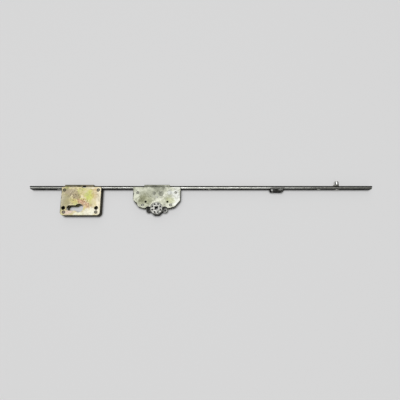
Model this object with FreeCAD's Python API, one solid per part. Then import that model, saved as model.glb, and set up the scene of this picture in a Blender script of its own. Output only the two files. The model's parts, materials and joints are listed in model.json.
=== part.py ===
import FreeCAD, Part
import math
import os

# Window espagnolette, millimetres. +X along the bar, +Y out through the faceplate, +Z towards the handle.
# The origin is on the handle spindle's axis, at the middle of the faceplate's width.

# The bar: faceplate and drive rod
BAR_LEFT = -255.0
BAR_LENGTH = 686.0
BACKSET = 45.5
FACE_W = 14.0
FACE_T = 2.5
FACE_CORNER_R = 1.5
ROD_W = 12.0
ROD_T = 2.8
ROD_GAP = 0.2
ROD_END_INSET = 1.0

# Fits and clearances
RUN_FIT = 0.05
RIVET_FIT = 0.03
SIDE_GAP = 0.3
SLOT_GAP = 0.3

# Sheet-metal cases
PLATE_T = 1.8
LUG_GAP = 0.6
LIP_SEAM = 0.8
LUG_BEND_R = 1.6
LUG_ROOT = 2.0
ROD_WALL_GAP = 0.4

# Gear train
PINION_TEETH = 16
IDLER_TEETH = 20
PRESSURE_ANGLE = math.radians(20.0)
DEDENDUM = 1.25
BACKLASH = 0.2
HANDLE_TURN = math.radians(90.0)
RACK_BACK_T = 3.4375
RACK_W = 9.8
RACK_PAD_L = 7.0
RACK_PAD_DROP = 4.0
RACK_PAD_R = 0.5
RACK_END_GAP = 2.5
GEAR_TOP_Z = 5.0
GEAR_BOTTOM_Z = -2.3
WEB_GAP = 0.2
POCKET_GAP = 0.25

# Follower
SPINDLE_SQUARE = 7.0
HUB_R = 11.7
HUB_TOP_Z = 9.3
HUB_RIM_CHAMFER = 0.5
HUB_COLLAR_R = 5.9
HUB_COLLAR_T = 0.5
NECK_INSET = 1.05
RING_HOLES = 8
RING_HOLE_R = 1.7
RING_WALL = 1.4
RING_HOLE_DEPTH = 1.5
JOURNAL_R = 7.5
CAM_T = 4.0
CAM_INSET = 0.65
CAM_NOTCHES = 4
CAM_NOTCH_R = 1.9

# Detent
DETENT_ANGLE = math.radians(150.0)
PLUNGER_R = 1.6
PLUNGER_L = 4.5
PLUNGER_GAP = 0.15
PLUNGER_STROKE = 0.7
PLUNGER_FLOOR_GAP = 0.35
DETENT_SPRING_L = 4.4
DETENT_COILS = 5
DETENT_WIRE_R = 0.25

# Gearbox
BOX_HALF_W = 47.0
BOX_HIP_HALF_W = 36.0
BOX_FOOT_HALF_W = 27.0
BOX_SHOULDER_Y = 16.6
BOX_HIP_Y = 3.4
BOX_FOOT_Y = 0.6
BOX_TOP_R = 2.0
BOX_SHOULDER_R = 7.0
BOX_HIP_R = 8.0
BOX_FOOT_R = 2.5
CORE_INSET = 1.2
HUB_WALL = 1.1
HUB_OPENING_GAP = 0.4
HUB_FLAT_HALF = 4.7
EAR_R = 4.8
EAR_HOLE_R = 2.0
EAR_TOP_Z = -3.0
EAR_DROP = 2.5
SCALLOP_GAP = 1.2
HANDLE_PITCH = 43.0
HANDLE_Y = 12.8
HANDLE_HOLE_R = 2.1
BUSH_R = 4.0
BOX_RIVET_R = 2.0
BOX_RIVET_HEAD_R = 2.9
BOX_RIVET_UPPER_X = 37.8
BOX_RIVET_UPPER_Y = 31.4
BOX_RIVET_LOWER_X = 27.6
BOX_RIVET_LOWER_Y = 6.3
RIVET_HEAD_T = 0.7
BOX_LUG_HALF_W = 25.2
BOX_LUG_SPLIT_X = -2.0
BOX_LUG_SPLIT_W = 0.8
IDLER_PIN_R = 2.5
IDLER_COLLAR_R = 4.5
COIN_T = 0.35
COIN_SMALL = (-4.7, 29.9, 3.2)
COIN_LARGE = (8.6, 29.2, 4.9)

# Lock case
CASE_LEFT = -189.3
CASE_WIDTH = 78.4
CASE_DEPTH = 57.2
CASE_FOOT_R = 6.5
CASE_TOP_R = 1.2
EURO_X = -152.5
EURO_Y = 0.4
EURO_R = 8.6
EURO_SLOT_W = 10.6
EURO_HEIGHT = 33.1
CASE_HOLE_R = 3.9
CASE_HOLE_LEFT_IN = 5.85
CASE_HOLE_RIGHT_IN = 7.65
CASE_RIVET_R = 2.0
CASE_RIVET_HEAD_R = 2.7
CASE_RIVET_SINK_R = 3.3
CASE_RIVET_SINK_T = 0.6
CASE_RIVET_IN = 5.6
CASE_RIVET_TOP_IN = 6.2
CASE_RIVET_FOOT_IN = 6.3
CASE_LUG_IN_LEFT = 5.6
CASE_LUG_IN_RIGHT = 15.5
CASE_NOTCH_IN = 34.2
CASE_NOTCH_W = 7.0
CASE_NOTCH_DEPTH = 1.6

# Locking slide, lever and catch
BOLT_IN = 33.8
BOLT_W = 7.0
BOLT_ROOT = 1.0
BOLT_NOSE_R = 0.8
BOLT_REST_GAP = 0.4
BOLT_STROKE = 4.2
SLIDE_T = 4.0
SLIDE_CORNER_R = 1.5
SLIDE_LEFT_OUT = 7.5
SLIDE_RIGHT_IN = 22.1
SLIDE_FOOT_Y = 13.5
SLIDE_HEAD_Y = 31.0
CAM_GATE_W = 11.0
CAM_GATE_H = 4.5
GUIDE_PIN_R = 2.0
GUIDE_COLLAR_R = 3.4
GUIDE_PIN_Y = 27.0
GUIDE_PIN_IN = 5.0
LEVER_ARM = 20.0
LEVER_T = 2.5
LEVER_PIN_R = 2.5
LEVER_HUB_R = 4.5
STUMP_IN = 9.0
STUMP_Y = 16.9
STUMP_R = 1.8
LEVER_TAIL_L = 10.0
LEVER_TAIL_W = 5.0
LEVER_TAIL_R = 1.5
CATCH_T = 4.2
CATCH_W = 8.0
CATCH_STRAP_GAP = 0.8
CATCH_NOTCH_GAP = 0.3
CATCH_END_L = 5.0
SPRING_POST_IN = 10.6
SPRING_POST_Y = 30.0
SPRING_POST_R = 2.0
LEAF_T = 0.5
LEAF_W = 4.0
LEAF_NOSE_R = 1.5

# Cylinder fixing screw
CYL_SCREW_OUT = 20.0
CYL_SCREW_R = 2.75

# Fixings along the bar
FACE_SCREW_END_LEFT = 29.0
FACE_SCREW_BOX_LEFT = 33.0
FACE_SCREW_BOX_RIGHT = 133.0
FACE_SCREW_END_RIGHT = 16.0
FACE_SCREW_R = 2.15
FACE_SCREW_HEAD_R = 4.1
RETAINER_END_LEFT = 57.0
RETAINER_BOX_RIGHT = 58.0
RETAINER_END_RIGHT = 106.0
RETAINER_R = 2.5
RETAINER_HEAD_R = 3.7
RETAINER_HEAD_T = 1.0
RETAINER_SINK_T = 1.4
SMALL_RIVET_R = 1.5

# Rod guide block
GUIDE_END = 190.25
GUIDE_L = 27.5
GUIDE_W = 13.0
GUIDE_T = 5.3
GUIDE_GAP = 0.2
GUIDE_CHAMFER = 2.5
GUIDE_RIVET_PITCH = 18.5
GUIDE_RIVET_R = 2.0
GUIDE_BOSS_R = 2.5
GUIDE_BOSS_T = 0.8
GUIDE_SPOT_R = 1.2

# Roller cam
CAM_END = 70.0
CAM_THROW = 1.0
STUD_NECK_R = 3.0
STUD_TAIL_R = 4.5
STUD_TAIL_T = 1.2
STUD_AIR = 0.15
COLLAR_HEX_R = 6.2
COLLAR_T = 3.4
ROLLER_R = 4.85
ROLLER_L = 6.2
ROLLER_PIN_R = 2.5
ROLLER_CHAMFER = 0.4
STUD_HEAD_R = 3.7
STUD_HEAD_T = 0.8

# Places worked out from the driving sizes
BAR_RIGHT = BAR_LEFT + BAR_LENGTH
GUIDE_X = BAR_RIGHT - GUIDE_END
CAM_X = BAR_RIGHT - CAM_END
FACE_SCREWS_X = (BAR_LEFT + FACE_SCREW_END_LEFT, -BOX_HALF_W - FACE_SCREW_BOX_LEFT,
                 BOX_HALF_W + FACE_SCREW_BOX_RIGHT, BAR_RIGHT - FACE_SCREW_END_RIGHT)
RETAINERS_X = (BAR_LEFT + RETAINER_END_LEFT, BOX_HALF_W + RETAINER_BOX_RIGHT,
               BAR_RIGHT - RETAINER_END_RIGHT)
FACE_OUT = BACKSET
FACE_IN = FACE_OUT - FACE_T
ROD_FRONT = FACE_IN - ROD_GAP
ROD_BACK = ROD_FRONT - ROD_T
CORE_HALF = FACE_W / 2
CASE_HALF = CORE_HALF + PLATE_T
LUG_IN = FACE_OUT + LUG_GAP
LUG_OUT = LUG_IN + PLATE_T
LUG_START = FACE_IN - LUG_ROOT
LIP_END = FACE_IN + LIP_SEAM
MODULE = (ROD_BACK - RACK_BACK_T) / (PINION_TEETH / 2 + IDLER_TEETH + DEDENDUM)
PINION_R = MODULE * PINION_TEETH / 2
IDLER_R = MODULE * IDLER_TEETH / 2
IDLER_Y = PINION_R + IDLER_R
RACK_Y = IDLER_Y + IDLER_R
ROD_STROKE = PINION_R * HANDLE_TURN
PINION_TIP_R = PINION_R + MODULE
POCKET_R = PINION_TIP_R + POCKET_GAP
NECK_R = PINION_TIP_R - NECK_INSET
RING_R = HUB_R - RING_WALL - RING_HOLE_R
CAM_R = PINION_TIP_R - CAM_INSET
CAM_NOTCH_DEPTH = PLUNGER_STROKE - PLUNGER_GAP + PLUNGER_FLOOR_GAP
HUB_HOUSING_R = POCKET_R + HUB_WALL
EAR_X = POCKET_R + EAR_R
WEB_Z = GEAR_TOP_Z + WEB_GAP
CORE_TOP_Y = ROD_BACK - ROD_WALL_GAP
CASE_FOOT_Y = FACE_IN - CASE_DEPTH
CASE_RIGHT = CASE_LEFT + CASE_WIDTH
CASE_HOLES_X = (CASE_LEFT + CASE_HOLE_LEFT_IN, CASE_RIGHT - CASE_HOLE_RIGHT_IN)
CYL_SCREW_X = EURO_X - CYL_SCREW_OUT
SLIDE_LEFT = EURO_X - SLIDE_LEFT_OUT
SLIDE_RIGHT = CASE_RIGHT - SLIDE_RIGHT_IN
BOLT_X = CASE_RIGHT - BOLT_IN
STUMP_X = SLIDE_RIGHT - STUMP_IN
LEVER_TAIL_X = STUMP_X - LEVER_TAIL_L
LEVER_PIN_X = STUMP_X + LEVER_ARM
SPRING_POST_X = CASE_RIGHT - SPRING_POST_IN
LEVER_PIN_Y = STUMP_Y + BOLT_STROKE / 2
CATCH_FOOT_Y = ROD_BACK - CATCH_T
LEVER_Z = SLIDE_T / 2 + SIDE_GAP


def vec(x, y, z):
    return FreeCAD.Vector(x, y, z)


def box(x0, x1, y0, y1, z0, z1):
    return Part.makeBox(x1 - x0, y1 - y0, z1 - z0, vec(x0, y0, z0))


def round_z(x, y, z0, z1, radius):
    return Part.makeCylinder(radius, z1 - z0, vec(x, y, z0), vec(0, 0, 1))


def round_y(x, z, y0, y1, radius):
    return Part.makeCylinder(radius, y1 - y0, vec(x, y0, z), vec(0, 1, 0))


def slot_z(x0, x1, y, width, z0, z1):
    """Slot along X with round ends at x0 and x1, cut along Z."""
    r = width / 2
    middle = box(x0 + r, x1 - r, y - r, y + r, z0, z1)
    return middle.fuse([round_z(x0 + r, y, z0, z1, r), round_z(x1 - r, y, z0, z1, r)])


def slot_y(x0, x1, z, width, y0, y1):
    """Slot along X with round ends at x0 and x1, cut along Y."""
    r = width / 2
    middle = box(x0 + r, x1 - r, y0, y1, z - r, z + r)
    return middle.fuse([round_y(x0 + r, z, y0, y1, r), round_y(x1 - r, z, y0, y1, r)])


def rounded_face(corners, place):
    """Face on a polygon of (u, v, radius) corners; place turns u and v into a point."""
    count = len(corners)
    arcs = []
    for i, (u, v, radius) in enumerate(corners):
        point = FreeCAD.Vector(u, v, 0)
        before = FreeCAD.Vector(corners[i - 1][0], corners[i - 1][1], 0) - point
        after = FreeCAD.Vector(corners[(i + 1) % count][0], corners[(i + 1) % count][1], 0) - point
        before.normalize()
        after.normalize()
        if radius == 0:
            arcs.append((point, None, point))
            continue
        half = before.getAngle(after) / 2
        reach = radius / math.tan(half)
        inward = (before + after).normalize()
        middle = point + inward * (radius / math.sin(half) - radius)
        arcs.append((point + before * reach, middle, point + after * reach))
    edges = []
    for i, (start, middle, end) in enumerate(arcs):
        if middle is not None:
            corner = Part.Arc(place(start.x, start.y), place(middle.x, middle.y), place(end.x, end.y))
            edges.append(corner.toShape())
        following = arcs[(i + 1) % count][0]
        if end.distanceToPoint(following) > 1e-6:
            edges.append(Part.LineSegment(place(end.x, end.y), place(following.x, following.y)).toShape())
    return Part.Face(Part.Wire(edges))


def plate_z(corners, z0, z1):
    """Plate with an outline of (x, y, radius) corners."""
    return rounded_face(corners, lambda u, v: vec(u, v, z0)).extrude(vec(0, 0, z1 - z0))


def bar_y(corners, y0, y1):
    """Bar with an outline of (x, z, radius) corners, extruded along Y."""
    return rounded_face(corners, lambda u, v: vec(u, y0, v)).extrude(vec(0, y1 - y0, 0))


def fold_x(corners, x0, x1):
    """Folded strip with a section of (y, z, radius) corners, extruded along X."""
    return rounded_face(corners, lambda u, v: vec(x0, u, v)).extrude(vec(x1 - x0, 0, 0))


def group(solids):
    return Part.makeCompound(solids)


def mirrored_x(corners):
    """Corners of the right half, from top to bottom, repeated for the left half."""
    return corners + [(-u, v, r) for u, v, r in reversed(corners)]


def faceplate():
    half = FACE_W / 2
    corners = [(BAR_LEFT, -half, FACE_CORNER_R), (BAR_RIGHT, -half, FACE_CORNER_R),
               (BAR_RIGHT, half, FACE_CORNER_R), (BAR_LEFT, half, FACE_CORNER_R)]
    strip = bar_y(corners, FACE_IN, FACE_OUT)
    cuts = []
    sink = FACE_SCREW_HEAD_R - FACE_SCREW_R
    for x in FACE_SCREWS_X:
        cuts.append(round_y(x, 0, FACE_IN, FACE_OUT, FACE_SCREW_R))
        start = vec(x, FACE_OUT - sink, 0)
        cuts.append(Part.makeCone(FACE_SCREW_R, FACE_SCREW_HEAD_R, sink, start, vec(0, 1, 0)))
    for x in RETAINERS_X:
        cuts.append(round_y(x, 0, FACE_IN, FACE_OUT, RETAINER_R + RIVET_FIT))
    for x in guide_rivets_x():
        cuts.append(round_y(x, 0, FACE_IN, FACE_OUT, GUIDE_RIVET_R + RIVET_FIT))
    cuts.append(round_y(CYL_SCREW_X, 0, FACE_IN, FACE_OUT, CYL_SCREW_R))
    reach = STUD_NECK_R + SLOT_GAP
    cuts.append(slot_y(CAM_X - reach, CAM_X + ROD_STROKE + reach, 0, 2 * reach, FACE_IN, FACE_OUT))
    return strip.cut(cuts)


def guide_rivets_x():
    return (GUIDE_X - GUIDE_RIVET_PITCH / 2, GUIDE_X + GUIDE_RIVET_PITCH / 2)


def travel_slot(first_x, last_x, radius, y0, y1):
    """Slot in the rod that lets fixed shanks from first_x to last_x pass over the whole stroke."""
    reach = radius + SLOT_GAP
    return slot_y(first_x - ROD_STROKE - reach, last_x + reach, 0, 2 * reach, y0, y1)


def drive_rod():
    left = BAR_LEFT + ROD_END_INSET
    right = BAR_RIGHT - ROD_END_INSET
    rod = box(left, right, ROD_BACK, ROD_FRONT, -ROD_W / 2, ROD_W / 2)
    cuts = [travel_slot(x, x, FACE_SCREW_R, ROD_BACK, ROD_FRONT) for x in FACE_SCREWS_X]
    for x in RETAINERS_X:
        cuts.append(travel_slot(x, x, RETAINER_R, ROD_BACK, ROD_FRONT))
        cuts.append(travel_slot(x, x, RETAINER_HEAD_R, ROD_BACK, ROD_BACK + RETAINER_SINK_T))
    first, last = guide_rivets_x()
    cuts.append(travel_slot(first, last, GUIDE_RIVET_R, ROD_BACK, ROD_FRONT))
    cuts.append(travel_slot(CYL_SCREW_X, CYL_SCREW_X, CYL_SCREW_R, ROD_BACK, ROD_FRONT))
    cuts.append(round_y(CAM_X, 0, ROD_BACK, ROD_FRONT, STUD_NECK_R + RUN_FIT))
    for x in rack_rivets_x() + catch_rivets_x():
        cuts.append(round_y(x, 0, ROD_BACK, ROD_FRONT, SMALL_RIVET_R + RIVET_FIT))
    return rod.cut(cuts)


def rod_retaining_rivets():
    rivets = []
    head_front = ROD_BACK + RETAINER_SINK_T - ROD_GAP
    for x in RETAINERS_X:
        shank = round_y(x, 0, head_front, FACE_OUT, RETAINER_R)
        head = round_y(x, 0, head_front - RETAINER_HEAD_T, head_front, RETAINER_HEAD_R)
        rivets.append(shank.fuse(head).removeSplitter())
    return group(rivets)


def gear_half_angle(radius, teeth):
    """Half the angle of a tooth at a radius, on an involute flank above the base circle."""
    pitch_r = MODULE * teeth / 2
    base_r = pitch_r * math.cos(PRESSURE_ANGLE)
    at_pitch = math.pi / (2 * teeth) - BACKLASH / (2 * pitch_r)
    opening = math.tan(PRESSURE_ANGLE) - PRESSURE_ANGLE
    if radius <= base_r:
        return at_pitch + opening
    pressure = math.acos(base_r / radius)
    return at_pitch + opening - (math.tan(pressure) - pressure)


def gear_blank(teeth, centre_y, phase, z0, z1):
    """Spur gear on an axis along Z, with one tooth centred at the angle phase."""
    pitch_r = MODULE * teeth / 2
    base_r = pitch_r * math.cos(PRESSURE_ANGLE)
    tip_r = pitch_r + MODULE
    root_r = pitch_r - DEDENDUM * MODULE
    middle_r = (base_r + tip_r) / 2
    pitch_angle = 2 * math.pi / teeth

    base_h = gear_half_angle(base_r, teeth)
    middle_h = gear_half_angle(middle_r, teeth)
    tip_h = gear_half_angle(tip_r, teeth)

    def at(radius, angle):
        return vec(radius * math.cos(angle), centre_y + radius * math.sin(angle), z0)

    edges = []
    for k in range(teeth):
        a = phase + k * pitch_angle
        rise = (at(root_r, a - base_h), at(base_r, a - base_h))
        flank_up = (at(base_r, a - base_h), at(middle_r, a - middle_h), at(tip_r, a - tip_h))
        top = (at(tip_r, a - tip_h), at(tip_r, a), at(tip_r, a + tip_h))
        flank_down = (at(tip_r, a + tip_h), at(middle_r, a + middle_h), at(base_r, a + base_h))
        fall = (at(base_r, a + base_h), at(root_r, a + base_h))
        next_tooth = a + pitch_angle
        gap = (at(root_r, a + base_h), at(root_r, a + pitch_angle / 2), at(root_r, next_tooth - base_h))
        edges.append(Part.LineSegment(*rise).toShape())
        edges.append(Part.Arc(*flank_up).toShape())
        edges.append(Part.Arc(*top).toShape())
        edges.append(Part.Arc(*flank_down).toShape())
        edges.append(Part.LineSegment(*fall).toShape())
        edges.append(Part.Arc(*gap).toShape())
    return Part.Face(Part.Wire(edges)).extrude(vec(0, 0, z1 - z0))


def top_edges(shape, z):
    """Flat edges of a shape at the height z."""
    level = [edge for edge in shape.Edges if edge.BoundBox.ZLength < 1e-6]
    return [edge for edge in level if abs(edge.BoundBox.ZMin - z) < 1e-6]


def follower():
    cam_z0 = -CORE_HALF + SIDE_GAP
    cam_z1 = cam_z0 + CAM_T
    pinion = gear_blank(PINION_TEETH, 0, math.pi / 2, cam_z1, GEAR_TOP_Z)
    neck = round_z(0, 0, GEAR_TOP_Z, CORE_HALF + WEB_GAP, NECK_R)
    disc = round_z(0, 0, CORE_HALF + WEB_GAP, HUB_TOP_Z, HUB_R)
    disc = disc.makeChamfer(HUB_RIM_CHAMFER, top_edges(disc, HUB_TOP_Z))
    collar = round_z(0, 0, HUB_TOP_Z, HUB_TOP_Z + HUB_COLLAR_T, HUB_COLLAR_R)
    cam = round_z(0, 0, cam_z0, cam_z1, CAM_R)
    journal = round_z(0, 0, -CASE_HALF + SIDE_GAP, cam_z0, JOURNAL_R)
    body = cam.fuse([pinion, neck, disc, collar, journal])
    cuts = []
    half = SPINDLE_SQUARE / 2
    cuts.append(box(-half, half, -half, half, -CASE_HALF, HUB_TOP_Z + HUB_COLLAR_T))
    for k in range(RING_HOLES):
        a = (k + 0.5) * 2 * math.pi / RING_HOLES
        x = RING_R * math.cos(a)
        y = RING_R * math.sin(a)
        cuts.append(round_z(x, y, HUB_TOP_Z - RING_HOLE_DEPTH, HUB_TOP_Z, RING_HOLE_R))
    notch_at = CAM_R + CAM_NOTCH_R - CAM_NOTCH_DEPTH
    for k in range(CAM_NOTCHES):
        a = DETENT_ANGLE + k * 2 * math.pi / CAM_NOTCHES
        cuts.append(round_z(notch_at * math.cos(a), notch_at * math.sin(a), cam_z0, cam_z1, CAM_NOTCH_R))
    return body.cut(cuts).removeSplitter()


def detent_place(distance, z):
    """Point on the detent's line, at a distance from the spindle's axis."""
    return vec(distance * math.cos(DETENT_ANGLE), distance * math.sin(DETENT_ANGLE), z)


def detent_z():
    return -CORE_HALF + SIDE_GAP + CAM_T / 2


def detent_direction():
    return vec(math.cos(DETENT_ANGLE), math.sin(DETENT_ANGLE), 0)


def detent_rod(radius, start, length):
    """Round bar along the detent's line, from a distance off the spindle's axis."""
    return Part.makeCylinder(radius, length, detent_place(start, detent_z()), detent_direction())


def detent_plunger():
    nose = CAM_R + PLUNGER_GAP
    ball = Part.makeSphere(PLUNGER_R, detent_place(nose + PLUNGER_R, detent_z()))
    shank = detent_rod(PLUNGER_R, nose + PLUNGER_R, PLUNGER_L - PLUNGER_R)
    return ball.fuse(shank).removeSplitter()


def detent_spring():
    """Closed coils shown as a sleeve of the spring's outer size with one ring per coil."""
    start = CAM_R + PLUNGER_GAP + PLUNGER_L + RUN_FIT
    outer = PLUNGER_R - RUN_FIT
    step = (DETENT_SPRING_L - 2 * DETENT_WIRE_R) / DETENT_COILS
    sleeve = detent_rod(outer - 2 * DETENT_WIRE_R, start, DETENT_SPRING_L)
    rings = [detent_rod(outer, start + k * step, 2 * DETENT_WIRE_R) for k in range(DETENT_COILS + 1)]
    bore = detent_rod(outer - 3 * DETENT_WIRE_R, start, DETENT_SPRING_L)
    return sleeve.fuse(rings).cut(bore).removeSplitter()


def idler_gear():
    phase = math.pi / 2 + math.pi / IDLER_TEETH
    gear = gear_blank(IDLER_TEETH, IDLER_Y, phase, GEAR_BOTTOM_Z, GEAR_TOP_Z)
    return gear.cut(round_z(0, IDLER_Y, GEAR_BOTTOM_Z, GEAR_TOP_Z, IDLER_PIN_R + RUN_FIT))


def idler_pin():
    pin = round_z(0, IDLER_Y, -CASE_HALF, CASE_HALF, IDLER_PIN_R)
    collar = round_z(0, IDLER_Y, -CORE_HALF, GEAR_BOTTOM_Z - WEB_GAP, IDLER_COLLAR_R)
    return pin.fuse(collar).removeSplitter()


def rack_teeth_x():
    """Centres of the rack's teeth: those in mesh at rest, and those that come into mesh."""
    pitch = math.pi * MODULE
    reach = math.sqrt((IDLER_R + MODULE) ** 2 - (IDLER_R - MODULE) ** 2)
    in_mesh = math.ceil(reach / pitch)
    first = -in_mesh - math.ceil(ROD_STROKE / pitch)
    return [k * pitch for k in range(first, in_mesh + 1)]


def rack_ends():
    teeth = rack_teeth_x()
    land = math.pi * MODULE / 2
    return teeth[0] - land - RACK_PAD_L, teeth[-1] + land + RACK_PAD_L


def rack_rivets_x():
    left, right = rack_ends()
    return (left + RACK_PAD_L / 2, right - RACK_PAD_L / 2)


def rack():
    left, right = rack_ends()
    root_y = RACK_Y + DEDENDUM * MODULE
    foot_y = ROD_BACK - RACK_PAD_DROP
    z1 = GEAR_TOP_Z - WEB_GAP
    z0 = z1 - RACK_W
    at_pitch = math.pi * MODULE / 4 - BACKLASH / 2
    root_half = at_pitch + DEDENDUM * MODULE * math.tan(PRESSURE_ANGLE)
    tip_half = at_pitch - MODULE * math.tan(PRESSURE_ANGLE)
    corners = [(left, ROD_BACK, 0), (left, foot_y, RACK_PAD_R),
               (left + RACK_PAD_L, foot_y, RACK_PAD_R), (left + RACK_PAD_L, root_y, 0)]
    for x in rack_teeth_x():
        corners += [(x - root_half, root_y, 0), (x - tip_half, RACK_Y - MODULE, 0),
                    (x + tip_half, RACK_Y - MODULE, 0), (x + root_half, root_y, 0)]
    corners += [(right - RACK_PAD_L, root_y, 0), (right - RACK_PAD_L, foot_y, RACK_PAD_R),
                (right, foot_y, RACK_PAD_R), (right, ROD_BACK, 0)]
    bar = plate_z(corners, z0, z1)
    hole_r = SMALL_RIVET_R + RIVET_FIT
    return bar.cut([round_y(x, 0, foot_y, ROD_BACK, hole_r) for x in rack_rivets_x()])


def rack_rivets():
    foot_y = ROD_BACK - RACK_PAD_DROP
    return group([round_y(x, 0, foot_y, ROD_FRONT, SMALL_RIVET_R) for x in rack_rivets_x()])


def inset_corner(before, corner, after, inset):
    """Corner of a convex outline after both its edges move inwards by inset."""
    point = vec(corner[0], corner[1], 0)
    back = (vec(before[0], before[1], 0) - point).normalize()
    forth = (vec(after[0], after[1], 0) - point).normalize()
    half = back.getAngle(forth) / 2
    return point + (back + forth).normalize() * (inset / math.sin(half))


def gearbox_outline(inset, top_y):
    """Right half of the gearbox's outline, from the top to the foot."""
    top = (BOX_HALF_W, FACE_IN)
    shoulder = (BOX_HALF_W, BOX_SHOULDER_Y)
    hip = (BOX_HIP_HALF_W, BOX_HIP_Y)
    foot = (BOX_FOOT_HALF_W, BOX_FOOT_Y)
    path = [top, shoulder, hip, foot, (-BOX_FOOT_HALF_W, BOX_FOOT_Y)]
    radii = (BOX_SHOULDER_R, BOX_HIP_R, BOX_FOOT_R)
    corners = [(BOX_HALF_W - inset, top_y, BOX_TOP_R if inset == 0 else 0)]
    for k, radius in enumerate(radii):
        moved = inset_corner(path[k], path[k + 1], path[k + 2], inset)
        corners.append((moved.x, moved.y, radius))
    return corners


def gearbox_rivet_places():
    places = []
    for side in (-1, 1):
        places.append((side * BOX_RIVET_UPPER_X, BOX_RIVET_UPPER_Y))
        places.append((side * BOX_RIVET_LOWER_X, BOX_RIVET_LOWER_Y))
    return places


def gearbox_holes(z0, z1, screw_r):
    """Holes that the gearbox's plates and core share."""
    holes = [round_z(x, y, z0, z1, BOX_RIVET_R + RIVET_FIT) for x, y in gearbox_rivet_places()]
    holes += [round_z(side * HANDLE_PITCH / 2, HANDLE_Y, z0, z1, screw_r) for side in (-1, 1)]
    holes.append(round_z(0, IDLER_Y, z0, z1, IDLER_PIN_R + RIVET_FIT))
    return holes


def ear_places():
    return (-EAR_X, EAR_X)


def gearbox_cover():
    plate = plate_z(mirrored_x(gearbox_outline(0, FACE_IN)), CORE_HALF, CASE_HALF)
    cuts = gearbox_holes(CORE_HALF, CASE_HALF, HANDLE_HOLE_R)
    cuts.append(round_z(0, 0, CORE_HALF, CASE_HALF, HUB_R + HUB_OPENING_GAP))
    for x in ear_places():
        cuts.append(round_z(x, -EAR_DROP, CORE_HALF, CASE_HALF, EAR_R + SCALLOP_GAP))
    for x, y, radius in (COIN_SMALL, COIN_LARGE):
        cuts.append(round_z(x, y, CASE_HALF - COIN_T, CASE_HALF, radius))
    return plate.cut(cuts).removeSplitter()


def lug_section():
    """Section of a lug that is folded from the base plate round the faceplate, with a lip over it."""
    return [(LUG_START, -CASE_HALF, 0), (LUG_OUT, -CASE_HALF, LUG_BEND_R),
            (LUG_OUT, CASE_HALF, LUG_BEND_R), (LIP_END, CASE_HALF, 0), (LIP_END, CORE_HALF, 0),
            (LUG_IN, CORE_HALF, 0), (LUG_IN, -CORE_HALF, 0), (LUG_START, -CORE_HALF, 0)]


def hub_lobe(radius, z0, z1):
    """Round housing under the hub, cut flat at its foot with two sloping sides."""
    foot = -radius
    side = radius * math.tan(math.pi / 8)
    corners = [(-radius, 0, 0), (-radius, -side, 0), (-HUB_FLAT_HALF, foot, 0), (HUB_FLAT_HALF, foot, 0),
               (radius, -side, 0), (radius, 0, 0), (radius, radius, 0), (-radius, radius, 0)]
    return plate_z(corners, z0, z1)


def gearbox_base():
    plate = plate_z(mirrored_x(gearbox_outline(0, FACE_IN)), -CASE_HALF, -CORE_HALF)
    seam_left = BOX_LUG_SPLIT_X - BOX_LUG_SPLIT_W / 2
    seam_right = BOX_LUG_SPLIT_X + BOX_LUG_SPLIT_W / 2
    section = lug_section()
    lugs = [fold_x(section, -BOX_LUG_HALF_W, seam_left), fold_x(section, seam_right, BOX_LUG_HALF_W)]
    ears = [round_z(x, -EAR_DROP, -CASE_HALF, -CORE_HALF, EAR_R) for x in ear_places()]
    plate = plate.fuse(lugs + ears + [hub_lobe(HUB_HOUSING_R, -CASE_HALF, -CORE_HALF)])
    cuts = gearbox_holes(-CASE_HALF, -CORE_HALF, HANDLE_HOLE_R)
    cuts += [round_z(x, -EAR_DROP, -CASE_HALF, -CORE_HALF, EAR_HOLE_R) for x in ear_places()]
    cuts.append(round_z(0, 0, -CASE_HALF, -CORE_HALF, JOURNAL_R + RUN_FIT))
    return plate.cut(cuts).removeSplitter()


def gearbox_core():
    half = CORE_HALF
    body = plate_z(mirrored_x(gearbox_outline(CORE_INSET, CORE_TOP_Y)), -half, half)
    cuts = [round_z(x, -EAR_DROP, EAR_TOP_Z, half, EAR_R + SCALLOP_GAP) for x in ear_places()]
    body = body.cut(cuts)
    ears = [round_z(x, -EAR_DROP, -half, EAR_TOP_Z, EAR_R) for x in ear_places()]
    ears += [box(min(0, x), max(0, x), -EAR_R / 2, EAR_R, -half, EAR_TOP_Z) for x in ear_places()]
    body = body.fuse(ears + [hub_lobe(HUB_HOUSING_R, -half, half)])
    cuts = [round_z(0, 0, -half, WEB_Z, POCKET_R), round_z(0, 0, -half, half, NECK_R + RUN_FIT)]
    cuts.append(round_z(0, IDLER_Y, -half, WEB_Z, IDLER_R + MODULE + POCKET_GAP))
    rack_left, rack_right = rack_ends()
    left = rack_left - RACK_END_GAP
    right = rack_right + ROD_STROKE + RACK_END_GAP
    rack_foot = min(RACK_Y - MODULE, ROD_BACK - RACK_PAD_DROP) - POCKET_GAP
    cuts.append(box(left, right, rack_foot, CORE_TOP_Y, -half, WEB_Z))
    cuts += gearbox_holes(-half, half, BUSH_R + RIVET_FIT)
    cuts += [round_z(x, -EAR_DROP, -half, half, EAR_HOLE_R) for x in ear_places()]
    bore_end = CAM_R + PLUNGER_GAP + PLUNGER_L + DETENT_SPRING_L + 2 * RUN_FIT
    cuts.append(detent_rod(PLUNGER_R + RUN_FIT, CAM_R / 2, bore_end - CAM_R / 2))
    return body.cut(cuts).removeSplitter()


def gearbox_rivets():
    rivets = []
    for x, y in gearbox_rivet_places():
        shank = round_z(x, y, -CASE_HALF, CASE_HALF, BOX_RIVET_R)
        head = rivet_head(x, y, CASE_HALF, BOX_RIVET_HEAD_R)
        rivets.append(shank.fuse(head).removeSplitter())
    return group(rivets)


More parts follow.
